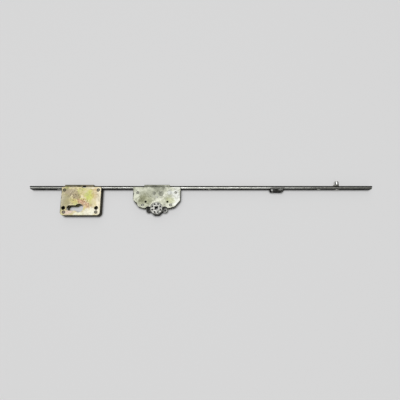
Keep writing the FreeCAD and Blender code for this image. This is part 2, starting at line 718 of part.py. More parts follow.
def rivet_head(x, y, z, radius):
    """Low domed head that starts at the height z."""
    dome_r = (radius ** 2 + RIVET_HEAD_T ** 2) / (2 * RIVET_HEAD_T)
    dome = Part.makeSphere(dome_r, vec(x, y, z + RIVET_HEAD_T - dome_r))
    return dome.common(round_z(x, y, z, z + RIVET_HEAD_T, radius))


def handle_screw_bushes():
    bushes = []
    for side in (-1, 1):
        x = side * HANDLE_PITCH / 2
        outer = round_z(x, HANDLE_Y, -CORE_HALF, CORE_HALF, BUSH_R)
        bushes.append(outer.cut(round_z(x, HANDLE_Y, -CORE_HALF, CORE_HALF, HANDLE_HOLE_R)))
    return group(bushes)


def case_outline(inset, top_y):
    """Outline of the lock case, with rounded feet."""
    foot_r = CASE_FOOT_R - inset
    top_r = CASE_TOP_R if inset == 0 else 0
    return [(CASE_LEFT + inset, top_y, top_r), (CASE_LEFT + inset, CASE_FOOT_Y + inset, foot_r),
            (CASE_RIGHT - inset, CASE_FOOT_Y + inset, foot_r), (CASE_RIGHT - inset, top_y, top_r)]


def case_rivet_places():
    left = CASE_LEFT + CASE_RIVET_IN
    right = CASE_RIGHT - CASE_RIVET_IN
    top = FACE_IN - CASE_RIVET_TOP_IN
    foot = CASE_FOOT_Y + CASE_RIVET_FOOT_IN
    return [(left, top), (right, top), (left + CASE_RIVET_R, foot), (right - CASE_RIVET_R, foot)]


def case_cuts(z0, z1):
    """Openings that the lock case's cover and base share."""
    cuts = [round_z(x, y, z0, z1, CASE_RIVET_R + RIVET_FIT) for x, y in case_rivet_places()]
    cuts.append(round_z(EURO_X, EURO_Y, z0, z1, EURO_R))
    slot_left = EURO_X + EURO_R - EURO_HEIGHT
    cuts.append(slot_z(slot_left, EURO_X + EURO_SLOT_W / 2, EURO_Y, EURO_SLOT_W, z0, z1))
    cuts += [round_z(x, EURO_Y, z0, z1, CASE_HOLE_R) for x in CASE_HOLES_X]
    for x, y in pin_places():
        cuts.append(round_z(x, y, z0, z1, GUIDE_PIN_R + RIVET_FIT))
    return cuts


def pin_places():
    """Shouldered pins that are riveted in the lock case's plates."""
    return slide_pin_places() + [(LEVER_PIN_X, LEVER_PIN_Y), (SPRING_POST_X, SPRING_POST_Y)]


def slide_pin_places():
    return [(SLIDE_LEFT + GUIDE_PIN_IN, GUIDE_PIN_Y), (SLIDE_RIGHT - GUIDE_PIN_IN, GUIDE_PIN_Y)]


def case_lug_ends():
    return CASE_LEFT + CASE_LUG_IN_LEFT, CASE_RIGHT - CASE_LUG_IN_RIGHT


def case_notch_ends():
    """Notch in the lip and in the cover's edge beside it."""
    left = CASE_RIGHT - CASE_NOTCH_IN - CASE_NOTCH_W / 2
    return left, left + CASE_NOTCH_W


def lock_case_base():
    floor = plate_z(case_outline(0, FACE_IN), -CASE_HALF, -CORE_HALF)
    walls = plate_z(case_outline(0, CORE_TOP_Y), -CORE_HALF, CORE_HALF)
    room = case_outline(PLATE_T, CORE_TOP_Y)
    walls = walls.cut(plate_z(room, -CORE_HALF, CORE_HALF))
    left, right = case_lug_ends()
    tray = floor.fuse([walls, fold_x(lug_section(), left, right)])
    cuts = case_cuts(-CASE_HALF, -CORE_HALF)
    cuts.append(round_y(CYL_SCREW_X, 0, LUG_IN, LUG_OUT, CYL_SCREW_R))
    notch_left, notch_right = case_notch_ends()
    cuts.append(box(notch_left, notch_right, LIP_END, LUG_IN, CORE_HALF, CASE_HALF))
    return tray.cut(cuts).removeSplitter()


def lock_case_cover():
    plate = plate_z(case_outline(0, FACE_IN), CORE_HALF, CASE_HALF)
    cuts = case_cuts(CORE_HALF, CASE_HALF)
    notch_left, notch_right = case_notch_ends()
    cuts.append(box(notch_left, notch_right, FACE_IN - CASE_NOTCH_DEPTH, FACE_IN, CORE_HALF, CASE_HALF))
    for x, y in case_rivet_places():
        cuts.append(round_z(x, y, CASE_HALF - CASE_RIVET_SINK_T, CASE_HALF, CASE_RIVET_SINK_R))
    return plate.cut(cuts)


def lock_case_rivets():
    rivets = []
    head_z = CASE_HALF - CASE_RIVET_SINK_T
    for x, y in case_rivet_places():
        shank = round_z(x, y, -CASE_HALF, head_z, CASE_RIVET_R)
        head = rivet_head(x, y, head_z, CASE_RIVET_HEAD_R)
        rivets.append(shank.fuse(head).removeSplitter())
    return group(rivets)


def locking_slide():
    z0 = -SLIDE_T / 2
    z1 = SLIDE_T / 2
    bolt_top = CATCH_FOOT_Y - BOLT_REST_GAP
    bolt_root = SLIDE_HEAD_Y - BOLT_ROOT
    bolt_left = BOLT_X - BOLT_W / 2
    bolt_right = BOLT_X + BOLT_W / 2
    r = SLIDE_CORNER_R
    plate = plate_z([(SLIDE_LEFT, SLIDE_FOOT_Y, r), (SLIDE_RIGHT, SLIDE_FOOT_Y, r),
                     (SLIDE_RIGHT, SLIDE_HEAD_Y, r), (SLIDE_LEFT, SLIDE_HEAD_Y, r)], z0, z1)
    bolt = plate_z([(bolt_left, bolt_root, 0), (bolt_right, bolt_root, 0),
                    (bolt_right, bolt_top, BOLT_NOSE_R), (bolt_left, bolt_top, BOLT_NOSE_R)], z0, z1)
    gate_left = EURO_X - CAM_GATE_W / 2
    gate_right = EURO_X + CAM_GATE_W / 2
    cuts = [box(gate_left, gate_right, SLIDE_FOOT_Y, SLIDE_FOOT_Y + CAM_GATE_H, z0, z1)]
    for x, y in slide_pin_places():
        pin_r = GUIDE_PIN_R + RUN_FIT
        cuts.append(box(x - pin_r, x + pin_r, y - BOLT_STROKE, y, z0, z1))
        cuts.append(round_z(x, y, z0, z1, pin_r))
        cuts.append(round_z(x, y - BOLT_STROKE, z0, z1, pin_r))
    stump_slot = 2 * (STUMP_R + SLOT_GAP)
    reach = stump_slot / 2 + SLOT_GAP
    cuts.append(slot_z(STUMP_X - reach, STUMP_X + reach + SLOT_GAP, STUMP_Y, stump_slot, z0, z1))
    return plate.fuse(bolt).cut(cuts).removeSplitter()


def shouldered_pin(x, y, collar_r, collar_top_z, shank_r):
    """Pin through both plates of the lock case, with a collar on the base and riveted ends."""
    end = round_z(x, y, -CASE_HALF, CASE_HALF, GUIDE_PIN_R)
    shank = round_z(x, y, -CORE_HALF, CORE_HALF, shank_r)
    collar = round_z(x, y, -CORE_HALF, collar_top_z, collar_r)
    return end.fuse([shank, collar]).removeSplitter()


def slide_guide_pins():
    collar_top = -SLIDE_T / 2 - WEB_GAP
    places = slide_pin_places()
    return group([shouldered_pin(x, y, GUIDE_COLLAR_R, collar_top, GUIDE_PIN_R) for x, y in places])


def transfer_lever():
    z0 = LEVER_Z
    z1 = LEVER_Z + LEVER_T
    low = STUMP_Y - LEVER_TAIL_W / 2
    high = STUMP_Y + LEVER_TAIL_W / 2
    arm = plate_z([(LEVER_TAIL_X, low, LEVER_TAIL_R), (LEVER_PIN_X, low, 0),
                   (LEVER_PIN_X, LEVER_PIN_Y + LEVER_TAIL_W / 2, 0), (STUMP_X, high, 0),
                   (LEVER_TAIL_X, high, LEVER_TAIL_R)], z0, z1)
    hub = round_z(LEVER_PIN_X, LEVER_PIN_Y, z0, z1, LEVER_HUB_R)
    stump = round_z(STUMP_X, STUMP_Y, -SLIDE_T / 2, z0, STUMP_R)
    lever = arm.fuse([hub, stump])
    return lever.cut(round_z(LEVER_PIN_X, LEVER_PIN_Y, z0, z1, LEVER_PIN_R + RUN_FIT)).removeSplitter()


def lever_pin():
    return shouldered_pin(LEVER_PIN_X, LEVER_PIN_Y, LEVER_HUB_R, LEVER_Z - WEB_GAP, LEVER_PIN_R)


def spring_post():
    collar_top = -LEAF_W / 2 - RUN_FIT
    return shouldered_pin(SPRING_POST_X, SPRING_POST_Y, SPRING_POST_R + LEAF_T, collar_top, SPRING_POST_R)


def slide_leaf_spring():
    """Strip that is wrapped round the post and ends in a round nose beside the slide."""
    z0 = -LEAF_W / 2
    z1 = LEAF_W / 2
    inner = SPRING_POST_R + RUN_FIT
    wrap = round_z(SPRING_POST_X, SPRING_POST_Y, z0, z1, inner + LEAF_T)
    wrap = wrap.cut(round_z(SPRING_POST_X, SPRING_POST_Y, z0, z1, inner))
    nose_x = SLIDE_RIGHT + SIDE_GAP + LEAF_NOSE_R
    foot_y = SPRING_POST_Y - inner - LEAF_T
    nose_y = foot_y + LEAF_NOSE_R
    strip = box(nose_x, SPRING_POST_X, foot_y, foot_y + LEAF_T, z0, z1)
    nose = round_z(nose_x, nose_y, z0, z1, LEAF_NOSE_R)
    nose = nose.cut(round_z(nose_x, nose_y, z0, z1, LEAF_NOSE_R - LEAF_T))
    nose = nose.cut(box(nose_x, nose_x + LEAF_NOSE_R, foot_y + LEAF_T, nose_y + LEAF_NOSE_R, z0, z1))
    return wrap.fuse([strip, nose]).removeSplitter()


def catch_ends():
    half_notch = BOLT_W / 2 + CATCH_NOTCH_GAP
    return BOLT_X - ROD_STROKE - half_notch - CATCH_END_L, BOLT_X + half_notch + CATCH_END_L


def catch_rivets_x():
    left, right = catch_ends()
    return (left + CATCH_END_L / 2, right - CATCH_END_L / 2)


def rod_catch():
    left, right = catch_ends()
    half_notch = BOLT_W / 2 + CATCH_NOTCH_GAP
    keeper = box(left, right, CATCH_FOOT_Y, ROD_BACK, -CATCH_W / 2, CATCH_W / 2)
    cuts = []
    for x in (BOLT_X, BOLT_X - ROD_STROKE):
        cuts.append(box(x - half_notch, x + half_notch, CATCH_FOOT_Y, ROD_BACK, -CATCH_W / 2, CATCH_W / 2))
    lands = keeper.cut(cuts)
    strap = box(left, right, CATCH_FOOT_Y, ROD_BACK, SLIDE_T / 2 + CATCH_STRAP_GAP, CATCH_W / 2)
    holes = [round_y(x, 0, CATCH_FOOT_Y, ROD_BACK, SMALL_RIVET_R + RIVET_FIT) for x in catch_rivets_x()]
    return lands.fuse(strap).cut(holes).removeSplitter()


def catch_rivets():
    return group([round_y(x, 0, CATCH_FOOT_Y, ROD_FRONT, SMALL_RIVET_R) for x in catch_rivets_x()])


def rod_guide():
    front = ROD_BACK - GUIDE_GAP
    back = front - GUIDE_T
    left = GUIDE_X - GUIDE_L / 2
    right = GUIDE_X + GUIDE_L / 2
    block = plate_z([(left, front, 0), (left, back + GUIDE_CHAMFER, 0), (left + GUIDE_CHAMFER, back, 0),
                     (right - GUIDE_CHAMFER, back, 0), (right, back + GUIDE_CHAMFER, 0), (right, front, 0)],
                    -GUIDE_W / 2, GUIDE_W / 2)
    boss = round_z(GUIDE_X, (front + back) / 2, -GUIDE_W / 2, GUIDE_W / 2 + GUIDE_BOSS_T, GUIDE_BOSS_R)
    spots = [round_z(x, (front + back) / 2, -GUIDE_W / 2, GUIDE_W / 2 + GUIDE_BOSS_T / 2, GUIDE_SPOT_R)
             for x in guide_rivets_x()]
    holes = [round_y(x, 0, back, front, GUIDE_RIVET_R + RIVET_FIT) for x in guide_rivets_x()]
    return block.fuse([boss] + spots).cut(holes).removeSplitter()


def rod_guide_rivets():
    back = ROD_BACK - GUIDE_GAP - GUIDE_T
    return group([round_y(x, 0, back, FACE_OUT, GUIDE_RIVET_R) for x in guide_rivets_x()])


def cam_collar_y():
    return FACE_OUT + STUD_AIR


def cam_roller_y():
    return cam_collar_y() + COLLAR_T + STUD_AIR


def cam_stud():
    tail_front = ROD_BACK - STUD_AIR
    tail = round_y(CAM_X, 0, tail_front - STUD_TAIL_T, tail_front, STUD_TAIL_R)
    neck = round_y(CAM_X, 0, tail_front, cam_collar_y(), STUD_NECK_R)
    sixth = math.pi / 3
    flats = [(CAM_X + COLLAR_HEX_R * math.cos(k * sixth), COLLAR_HEX_R * math.sin(k * sixth), 0)
             for k in range(6)]
    collar = bar_y(flats, cam_collar_y(), cam_collar_y() + COLLAR_T)
    pin_x = CAM_X + CAM_THROW
    head_y = cam_roller_y() + ROLLER_L + STUD_AIR
    pin = round_y(pin_x, 0, cam_collar_y() + COLLAR_T, head_y, ROLLER_PIN_R)
    head = round_y(pin_x, 0, head_y, head_y + STUD_HEAD_T, STUD_HEAD_R)
    return tail.fuse([neck, collar, pin, head]).removeSplitter()


def cam_roller():
    y0 = cam_roller_y()
    pin_x = CAM_X + CAM_THROW
    roller = round_y(pin_x, 0, y0, y0 + ROLLER_L, ROLLER_R)
    rims = [edge for edge in roller.Edges if edge.BoundBox.YLength < 1e-6]
    roller = roller.makeChamfer(ROLLER_CHAMFER, rims)
    return roller.cut(round_y(pin_x, 0, y0, y0 + ROLLER_L, ROLLER_PIN_R + RUN_FIT))


PARTS = {
    "faceplate": faceplate,
    "drive_rod": drive_rod,
    "rod_retaining_rivets": rod_retaining_rivets,
    "gearbox_cover": gearbox_cover,
    "gearbox_base": gearbox_base,
    "gearbox_core": gearbox_core,
    "gearbox_rivets": gearbox_rivets,
    "handle_screw_bushes": handle_screw_bushes,
    "follower": follower,
    "idler_gear": idler_gear,
    "idler_pin": idler_pin,
    "detent_plunger": detent_plunger,
    "detent_spring": detent_spring,
    "rack": rack,
    "rack_rivets": rack_rivets,
    "lock_case_base": lock_case_base,
    "lock_case_cover": lock_case_cover,
    "lock_case_rivets": lock_case_rivets,
    "locking_slide": locking_slide,
    "slide_guide_pins": slide_guide_pins,
    "transfer_lever": transfer_lever,
    "lever_pin": lever_pin,
    "slide_leaf_spring": slide_leaf_spring,
    "spring_post": spring_post,
    "rod_catch": rod_catch,
    "catch_rivets": catch_rivets,
    "rod_guide": rod_guide,
    "rod_guide_rivets": rod_guide_rivets,
    "cam_stud": cam_stud,
    "cam_roller": cam_roller,
}

os.makedirs("parts", exist_ok=True)
for name, make in PARTS.items():
    shape = make()
    shape.exportStep("parts/" + name + ".step")
    print(name, len(shape.Solids), "solids", round(shape.Volume, 1), "mm3")
print("module", round(MODULE, 4), "pinion radius", round(PINION_R, 3), "rod stroke", round(ROD_STROKE, 3))
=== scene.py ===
# %% [markdown]
# # A window espagnolette, from the bare solids to the finished look
# An espagnolette is the long lock in the edge of a window. Turning the handle slides a rod behind the
# faceplate, and the rod carries roller cams that pull the sash against the frame.
# The solids come ready and fixed from CAD. This notebook gives them what a factory gives the real one:
# broken edges, zinc plating, passivation, scratches and the light of a plain product photo.

import json
import math

import bmesh
import bpy
from mathutils import Matrix, Vector


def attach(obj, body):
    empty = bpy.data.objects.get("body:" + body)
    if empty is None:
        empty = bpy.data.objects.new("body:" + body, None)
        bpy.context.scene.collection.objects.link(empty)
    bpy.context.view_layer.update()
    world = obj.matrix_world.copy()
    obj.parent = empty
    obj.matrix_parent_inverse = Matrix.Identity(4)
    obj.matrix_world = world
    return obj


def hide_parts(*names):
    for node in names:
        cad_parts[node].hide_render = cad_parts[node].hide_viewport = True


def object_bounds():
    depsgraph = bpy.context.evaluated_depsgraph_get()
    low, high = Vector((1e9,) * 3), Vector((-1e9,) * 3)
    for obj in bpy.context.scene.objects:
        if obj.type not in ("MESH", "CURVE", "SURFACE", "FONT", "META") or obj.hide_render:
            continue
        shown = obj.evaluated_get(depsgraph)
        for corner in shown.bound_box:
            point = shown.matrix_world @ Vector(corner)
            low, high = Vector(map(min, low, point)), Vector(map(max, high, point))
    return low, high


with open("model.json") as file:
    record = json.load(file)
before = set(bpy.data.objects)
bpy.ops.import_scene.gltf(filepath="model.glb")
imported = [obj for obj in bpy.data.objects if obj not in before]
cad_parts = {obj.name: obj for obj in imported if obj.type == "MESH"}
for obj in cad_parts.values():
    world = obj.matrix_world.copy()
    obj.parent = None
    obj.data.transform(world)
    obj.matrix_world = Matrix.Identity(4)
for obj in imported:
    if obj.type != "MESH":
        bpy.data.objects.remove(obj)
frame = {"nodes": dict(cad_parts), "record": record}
cad_box = [list(corner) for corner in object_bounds()]

# %% [markdown]
# ## Units and small helpers
# CAD people think in millimetres and Blender in metres, so one number turns one into the other.
# A node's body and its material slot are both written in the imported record. Reading them from there
# is safer than typing them again, because they can't disagree with the CAD.

# %% Where each node belongs
MM = 0.001
record = frame["record"]
BODY_OF = {node: body for body, nodes in record["behaviour"]["bodies"].items() for node in nodes}
SLOT_OF = {part["node"]: part["material_slot"] for part in record["subparts"]}
print("gearbox_cover rides on", BODY_OF["gearbox_cover"], "and is finished as", SLOT_OF["gearbox_cover"])

# %% [markdown]
# ## Shader node groups
# Plating, scratches and worn edges show on every steel piece here, only in other amounts. A node group
# is like a function: it is built once, its sockets are its arguments, and each material calls it with
# its own values. The groups put out only colours, masks and heights. The shader itself stays in the
# material, where the exporter can read it.
# Nodes could be wired one by one. The helpers below take a line each, so that a cell reads as what
# happens to the surface.

# %% Helpers that place and wire nodes
def start_group(name, inputs, outputs):
    """Empty shader group. inputs are (name, default) pairs."""
    tree = bpy.data.node_groups.new(name, "ShaderNodeTree")
    for label, default in inputs:
        kind = "NodeSocketVector" if label == "Vector" else "NodeSocketFloat"
        socket = tree.interface.new_socket(name=label, in_out="INPUT", socket_type=kind)
        if default is not None:
            socket.default_value = default
    for label in outputs:
        kind = "NodeSocketColor" if label == "Color" else "NodeSocketFloat"
        tree.interface.new_socket(name=label, in_out="OUTPUT", socket_type=kind)
    return tree, tree.nodes.new("NodeGroupInput"), tree.nodes.new("NodeGroupOutput")


def add_node(tree, kind, settings=None, **values):
    """Node with its settings, and with numbers or links on its input sockets, named by their labels."""
    node = tree.nodes.new(kind)
    for key, value in (settings or {}).items():
        setattr(node, key, value)
    for label, value in values.items():
        socket = node.inputs[int(label[1:]) if label[1:].isdigit() else label.replace("_", " ")]
        if isinstance(value, bpy.types.NodeSocket):
            tree.links.new(value, socket)
        else:
            socket.default_value = value
    return node


def hand_out(tree, result, **values):
    """Links values to the group's outputs."""
    for label, value in values.items():
        tree.links.new(value, result.inputs[label])


print("helpers ready, up to hand_out")

# %% [markdown]
# ### Numbers and colours
# In a shader even a sum is a node. These helpers make such nodes read like plain arithmetic. Every
# threshold has soft ends, because stains have.

# %% Helpers for numbers and colours
def between(tree, value, low, high, to_low=0.0, to_high=1.0):
    """The value spread from low..high to to_low..to_high, with soft ends."""
    node = add_node(tree, "ShaderNodeMapRange", {"interpolation_type": "SMOOTHSTEP"}, Value=value,
                    From_Min=low, From_Max=high, To_Min=to_low, To_Max=to_high)
    return node.outputs["Result"]


def work_out(tree, operation, *numbers):
    """One Math node on one or two values."""
    values = {"_%d" % place: number for place, number in enumerate(numbers)}
    return add_node(tree, "ShaderNodeMath", {"operation": operation}, **values).outputs[0]


def plus(tree, first, second):
    return work_out(tree, "ADD", first, second)


def times(tree, first, second):
    return work_out(tree, "MULTIPLY", first, second)


def noise(tree, place, scale, detail, roughness=0.5, distortion=0.0):
    node = add_node(tree, "ShaderNodeTexNoise", None, Vector=place, Scale=scale, Detail=detail,
                    Roughness=roughness, Distortion=distortion)
    return node.outputs["Fac"]


def with_alpha(colour):
    """A typed colour gets its alpha of 1, and a link stays as it is."""
    return (*colour, 1.0) if isinstance(colour, tuple) else colour


def blend_colours(tree, amount, first, second):
    """Colour mix. The three colour sockets of Blender's Mix node are numbers 0, 6 and 7."""
    node = add_node(tree, "ShaderNodeMix", {"data_type": "RGBA"}, _0=amount, _6=with_alpha(first),
                    _7=with_alpha(second))
    return node.outputs[2]


print("helpers ready, up to blend_colours")

# %% [markdown]
# ### Plating
# Electroplated zinc is never one flat grey. It has cloudy patches where the bath flowed unevenly and a
# very fine crystal grain. Photographs of plating could be wrapped on, but they need unwrapped surfaces and
# they repeat. Coarse noise for the clouds, and fine noise with a cell pattern for the crystals, give the
# same look on any shape, at its true scale in millimetres.

# %% Group: plating clouds and grain
def build_plating_group():
    tree, source, result = start_group(
        "Zinc plating",
        [("Vector", None), ("Cloud Scale", 40.0), ("Grain Scale", 2500.0)],
        ["Cloud", "Grain", "Height"])
    place, grain_scale = source.outputs["Vector"], source.outputs["Grain Scale"]
    big = noise(tree, place, source.outputs["Cloud Scale"], detail=5.0, roughness=0.62, distortion=0.6)
    fine = noise(tree, place, grain_scale, detail=2.0)
    crystals = add_node(tree, "ShaderNodeTexVoronoi", None, Vector=place, Scale=grain_scale)
    cloud = between(tree, big, 0.34, 0.66)
    grain = times(tree, fine, crystals.outputs["Distance"])
    hand_out(tree, result, Cloud=cloud, Grain=grain, Height=plus(tree, fine, grain))
    return tree


PLATING = build_plating_group()
print("group:", PLATING.name, [item.name for item in PLATING.interface.items_tree])

# %% [markdown]
# ### Handling marks
# Parts are tumbled and stacked, so they carry fine scratches in all directions and duller smudges.
# A scratch is a long thin line. Noise that is stretched thirty times in one direction gives such lines,
# and three of them at different angles cross as real scratches do. Each row below is one: its turn in
# radians, and its scale across and along the scratches.

# %% Group: scratches and smudges
SCRATCH_LINES = ((0.45, 1400.0, 45.0), (-1.05, 1100.0, 38.0), (1.9, 900.0, 30.0))
SCRATCH_TILT = (0.3, 0.2)


def build_marks_group():
    tree, source, result = start_group(
        "Handling marks",
        [("Vector", None), ("Scratch Amount", 0.5), ("Smudge Amount", 0.5)],
        ["Scratch", "Smudge"])
    place = source.outputs["Vector"]
    lines = []
    for turn, fine, along in SCRATCH_LINES:
        turned = add_node(tree, "ShaderNodeMapping", None, Vector=place, Rotation=(*SCRATCH_TILT, turn),
                          Scale=(fine, along, fine))
        lines.append(between(tree, noise(tree, turned.outputs[0], scale=1.0, detail=1.5), 0.66, 0.74))
    crossed = work_out(tree, "MAXIMUM", work_out(tree, "MAXIMUM", lines[0], lines[1]), lines[2])
    where = between(tree, noise(tree, place, scale=75.0, detail=3.0, roughness=0.7), 0.45, 0.7)
    scratched = times(tree, times(tree, crossed, where), source.outputs["Scratch Amount"])
    prints = noise(tree, place, scale=110.0, detail=4.0, roughness=0.75, distortion=1.2)
    smudged = times(tree, between(tree, prints, 0.48, 0.68), source.outputs["Smudge Amount"])
    hand_out(tree, result, Scratch=scratched, Smudge=smudged)
    return tree


MARKS = build_marks_group()
print("group:", MARKS.name)

# %% [markdown]
# ### Worn edges
# Plating wears first on corners. Blender can guess corners from the angle of the mesh, but that changes
# with the triangles. Here the bevel that breaks an edge also paints an attribute on its faces, so the
# shader knows exactly where the corners are. Noise then breaks the line up, because wear is uneven.

# %% Group: worn edges
def build_wear_group():
    tree, source, result = start_group(
        "Worn edges",
        [("Vector", None), ("Edge", 0.0), ("Amount", 0.7)],
        ["Wear"])
    patchy = noise(tree, source.outputs["Vector"], scale=260.0, detail=4.0, roughness=0.7)
    uneven = between(tree, patchy, 0.3, 0.62)
    worn = times(tree, times(tree, source.outputs["Edge"], uneven), source.outputs["Amount"])
    hand_out(tree, result, Wear=worn)
    return tree


WEAR = build_wear_group()
print("group:", WEAR.name)

# %% [markdown]
# ### Drawn lines
# Strip and flat bar leave a mill's rollers with straight lines along their length. Noise that is
# stretched along X gives such lines. This bar lies along X, so nothing has to be turned for it.

# %% Group: drawn lines
LONG_LINES = (9.0, 1500.0, 1500.0)
SHORT_LINES = (60.0, 3200.0, 3200.0)


def build_drawn_group():
    tree, source, result = start_group(
        "Drawn lines",
        [("Vector", None), ("Fineness", 1.0)],
        ["Line", "Height"])
    scaled = add_node(tree, "ShaderNodeVectorMath", {"operation": "SCALE"}, _0=source.outputs["Vector"],
                      Scale=source.outputs["Fineness"]).outputs[0]
    stretched = [add_node(tree, "ShaderNodeMapping", None, Vector=scaled, Scale=scale).outputs[0]
                 for scale in (LONG_LINES, SHORT_LINES)]
    first = noise(tree, stretched[0], scale=1.0, detail=3.0)
    second = noise(tree, stretched[1], scale=1.0, detail=2.0)
    line = between(tree, first, 0.38, 0.62)
    hand_out(tree, result, Line=line, Height=plus(tree, line, second))
    return tree


DRAWN = build_drawn_group()
print("group:", DRAWN.name)

# %% [markdown]
# ### Rainbow film
# Yellow passivation is a film a few hundred nanometres thick. Where its thickness changes, its colour
# changes, as on a soap bubble: from straw over gold and green to pink and back. A noise stands for the
# thickness, and a colour ramp turns thickness into colour. The real physics could be computed, but a
# ramp keeps the colours easy to tune.

# %% Group: rainbow film
FILM_COLOURS = (
    (0.0, (0.84, 0.80, 0.64)),
    (0.2, (0.83, 0.74, 0.50)),
    (0.38, (0.75, 0.66, 0.36)),
    (0.52, (0.66, 0.69, 0.27)),
    (0.66, (0.80, 0.63, 0.36)),
    (0.82, (0.83, 0.56, 0.46)),
    (1.0, (0.62, 0.50, 0.34)),
)


def build_film_group():
    tree, source, result = start_group(
        "Rainbow film",
        [("Vector", None), ("Thickness", 0.5), ("Unevenness", 0.5)],
        ["Color", "Height"])
    place = source.outputs["Vector"]
    wide = noise(tree, place, scale=48.0, detail=3.5, roughness=0.6, distortion=1.0)
    small = noise(tree, place, scale=170.0, detail=3.0, roughness=0.65, distortion=0.5)
    swing = plus(tree, between(tree, wide, 0.3, 0.7, -0.5, 0.5),
                 between(tree, small, 0.3, 0.7, -0.22, 0.22))
    uneven = times(tree, swing, source.outputs["Unevenness"])
    ramp = add_node(tree, "ShaderNodeValToRGB", None, Fac=plus(tree, source.outputs["Thickness"], uneven))
    stops = ramp.color_ramp.elements
    for position, colour in FILM_COLOURS:
        ready_made = {0.0: stops[0], 1.0: stops[-1]}.get(position)
        (ready_made or stops.new(position)).color = with_alpha(colour)
    hand_out(tree, result, Color=ramp.outputs["Color"], Height=small)
    return tree


FILM = build_film_group()
print("group:", FILM.name)

# %% [markdown]
# ## The metals
# Every metal below is one Principled shader. Its colour, roughness and bump come from the groups, and
# its fixed numbers are typed on the shader's own sockets.

# %% Helpers that every metal uses
METALS = {}
GRAIN_SHARE = 0.45
SMUDGE_DULLS = 0.22
EDGE_POLISH = -0.12
THIN_ROUGHER = 0.07
THICK_SMOOTHER = 0.03
CUT_METALLIC = 0.1
CUT_ROUGHER = 0.3
LOW_SPECULAR = 0.2
BUMP_DEPTH = 0.00003


def start_metal(name):
    """Material with one Principled shader. Gives its tree, its shader and its Object coordinates."""
    METALS[name] = metal = bpy.data.materials.new(name)
    metal.use_nodes = True
    tree = metal.node_tree
    return tree, tree.nodes["Principled BSDF"], tree.nodes.new("ShaderNodeTexCoord").outputs["Object"]


def use_group(tree, group, **values):
    return add_node(tree, "ShaderNodeGroup", {"node_tree": group}, **values)


def painted(tree, name):
    """Value that the modelling step painted on the mesh, such as worn_edge or cut_and_shade."""
    return add_node(tree, "ShaderNodeAttribute", {"attribute_name": name}).outputs["Fac"]


def surface_effects(tree, place, clouds, grain, scratches, smudges, wear):
    """The three groups that every metal has: plating, handling marks and worn edges."""
    plating = use_group(tree, PLATING, Vector=place, Cloud_Scale=clouds, Grain_Scale=grain)
    marks = use_group(tree, MARKS, Vector=place, Scratch_Amount=scratches, Smudge_Amount=smudges)
    worn = use_group(tree, WEAR, Vector=place, Edge=painted(tree, "worn_edge"), Amount=wear)
    return plating.outputs, marks.outputs, worn.outputs["Wear"]


def colour_shader(tree, shader, colour, cut_shade, marks, scratched, worn, bare):
    """Lays cut faces and painted shade, scratches and worn edges over a colour, and gives it to the shader.
    """
    colour = blend_colours(tree, painted(tree, "cut_and_shade"), colour, cut_shade)
    colour = blend_colours(tree, marks["Scratch"], colour, scratched)
    colour = blend_colours(tree, worn, colour, bare)
    tree.links.new(colour, shader.inputs["Base Color"])


def dull_cuts_and_shade(tree, shader, metallic, roughness):
    """Cut faces get a rough oxide that hardly reflects, and so does painted shade. Plated faces keep their
    metal and gloss.
    """
    cut_shade = painted(tree, "cut_and_shade")
    tree.links.new(between(tree, cut_shade, 0.0, 1.0, metallic, CUT_METALLIC), shader.inputs["Metallic"])
    rougher = between(tree, cut_shade, 0.0, 1.0, 0.0, CUT_ROUGHER)
    tree.links.new(plus(tree, roughness, rougher), shader.inputs["Roughness"])
    shader.inputs["Specular IOR Level"].default_value = LOW_SPECULAR


def raise_bumps(tree, shader, height, strength=0.25, depth=BUMP_DEPTH):
    bump = add_node(tree, "ShaderNodeBump", None, Height=height, Strength=strength, Distance=depth)
    tree.links.new(bump.outputs["Normal"], shader.inputs["Normal"])


print("helpers ready, up to raise_bumps")

# %% [markdown]
# ### Patches that sit at a fixed place
# Noise decides the small shapes of a stain, but not where the stain is. A patch below is a soft oval,
# and noise bends its outline. Because it uses Object coordinates, it sits at the same place on every
# piece that shares the metal. Its mask covers the oval, and its spots are the fine dots in it. In the
# tables further down, each row is one patch: its middle and half sizes in millimetres, its tint, how
# strongly it covers, and its lean in degrees.

# %% Group: a patch
def build_patch_group():
    tree, source, result = start_group(
        "Patch",
        [("Vector", None), ("Middle X", 0.0), ("Middle Y", 0.0), ("Half X", 10.0), ("Half Y", 10.0),
         ("Lean", 0.0)],
        ["Mask", "Spots"])
    given = source.outputs
    ragged = noise(tree, given["Vector"], scale=130.0, detail=4.0, roughness=0.65, distortion=0.6)
    middle = add_node(tree, "ShaderNodeCombineXYZ", None, X=given["Middle X"], Y=given["Middle Y"])
    in_mm = add_node(tree, "ShaderNodeVectorMath", {"operation": "SCALE"}, _0=given["Vector"],
                     Scale=1.0 / MM)
    from_middle = add_node(tree, "ShaderNodeVectorMath", {"operation": "SUBTRACT"}, _0=in_mm.outputs[0],
                           _1=middle.outputs[0])
    leaning = add_node(tree, "ShaderNodeVectorRotate", {"rotation_type": "Z_AXIS"},
                       Vector=from_middle.outputs[0], Angle=times(tree, given["Lean"], -1.0))
    axes = add_node(tree, "ShaderNodeSeparateXYZ", None, Vector=leaning.outputs[0])
    across = work_out(tree, "DIVIDE", axes.outputs["X"], given["Half X"])
    up = work_out(tree, "DIVIDE", axes.outputs["Y"], given["Half Y"])
    squares = plus(tree, times(tree, across, across), times(tree, up, up))
    bent = plus(tree, work_out(tree, "SQRT", squares), between(tree, ragged, 0.3, 0.7, -0.4, 0.4))
    mask = between(tree, bent, 1.25, 0.65)
    dots = noise(tree, given["Vector"], scale=520.0, detail=2.0, roughness=0.6)
    hand_out(tree, result, Mask=mask, Spots=times(tree, mask, between(tree, dots, 0.51, 0.56)))
    return tree


PATCH = build_patch_group()
print("group:", PATCH.name)


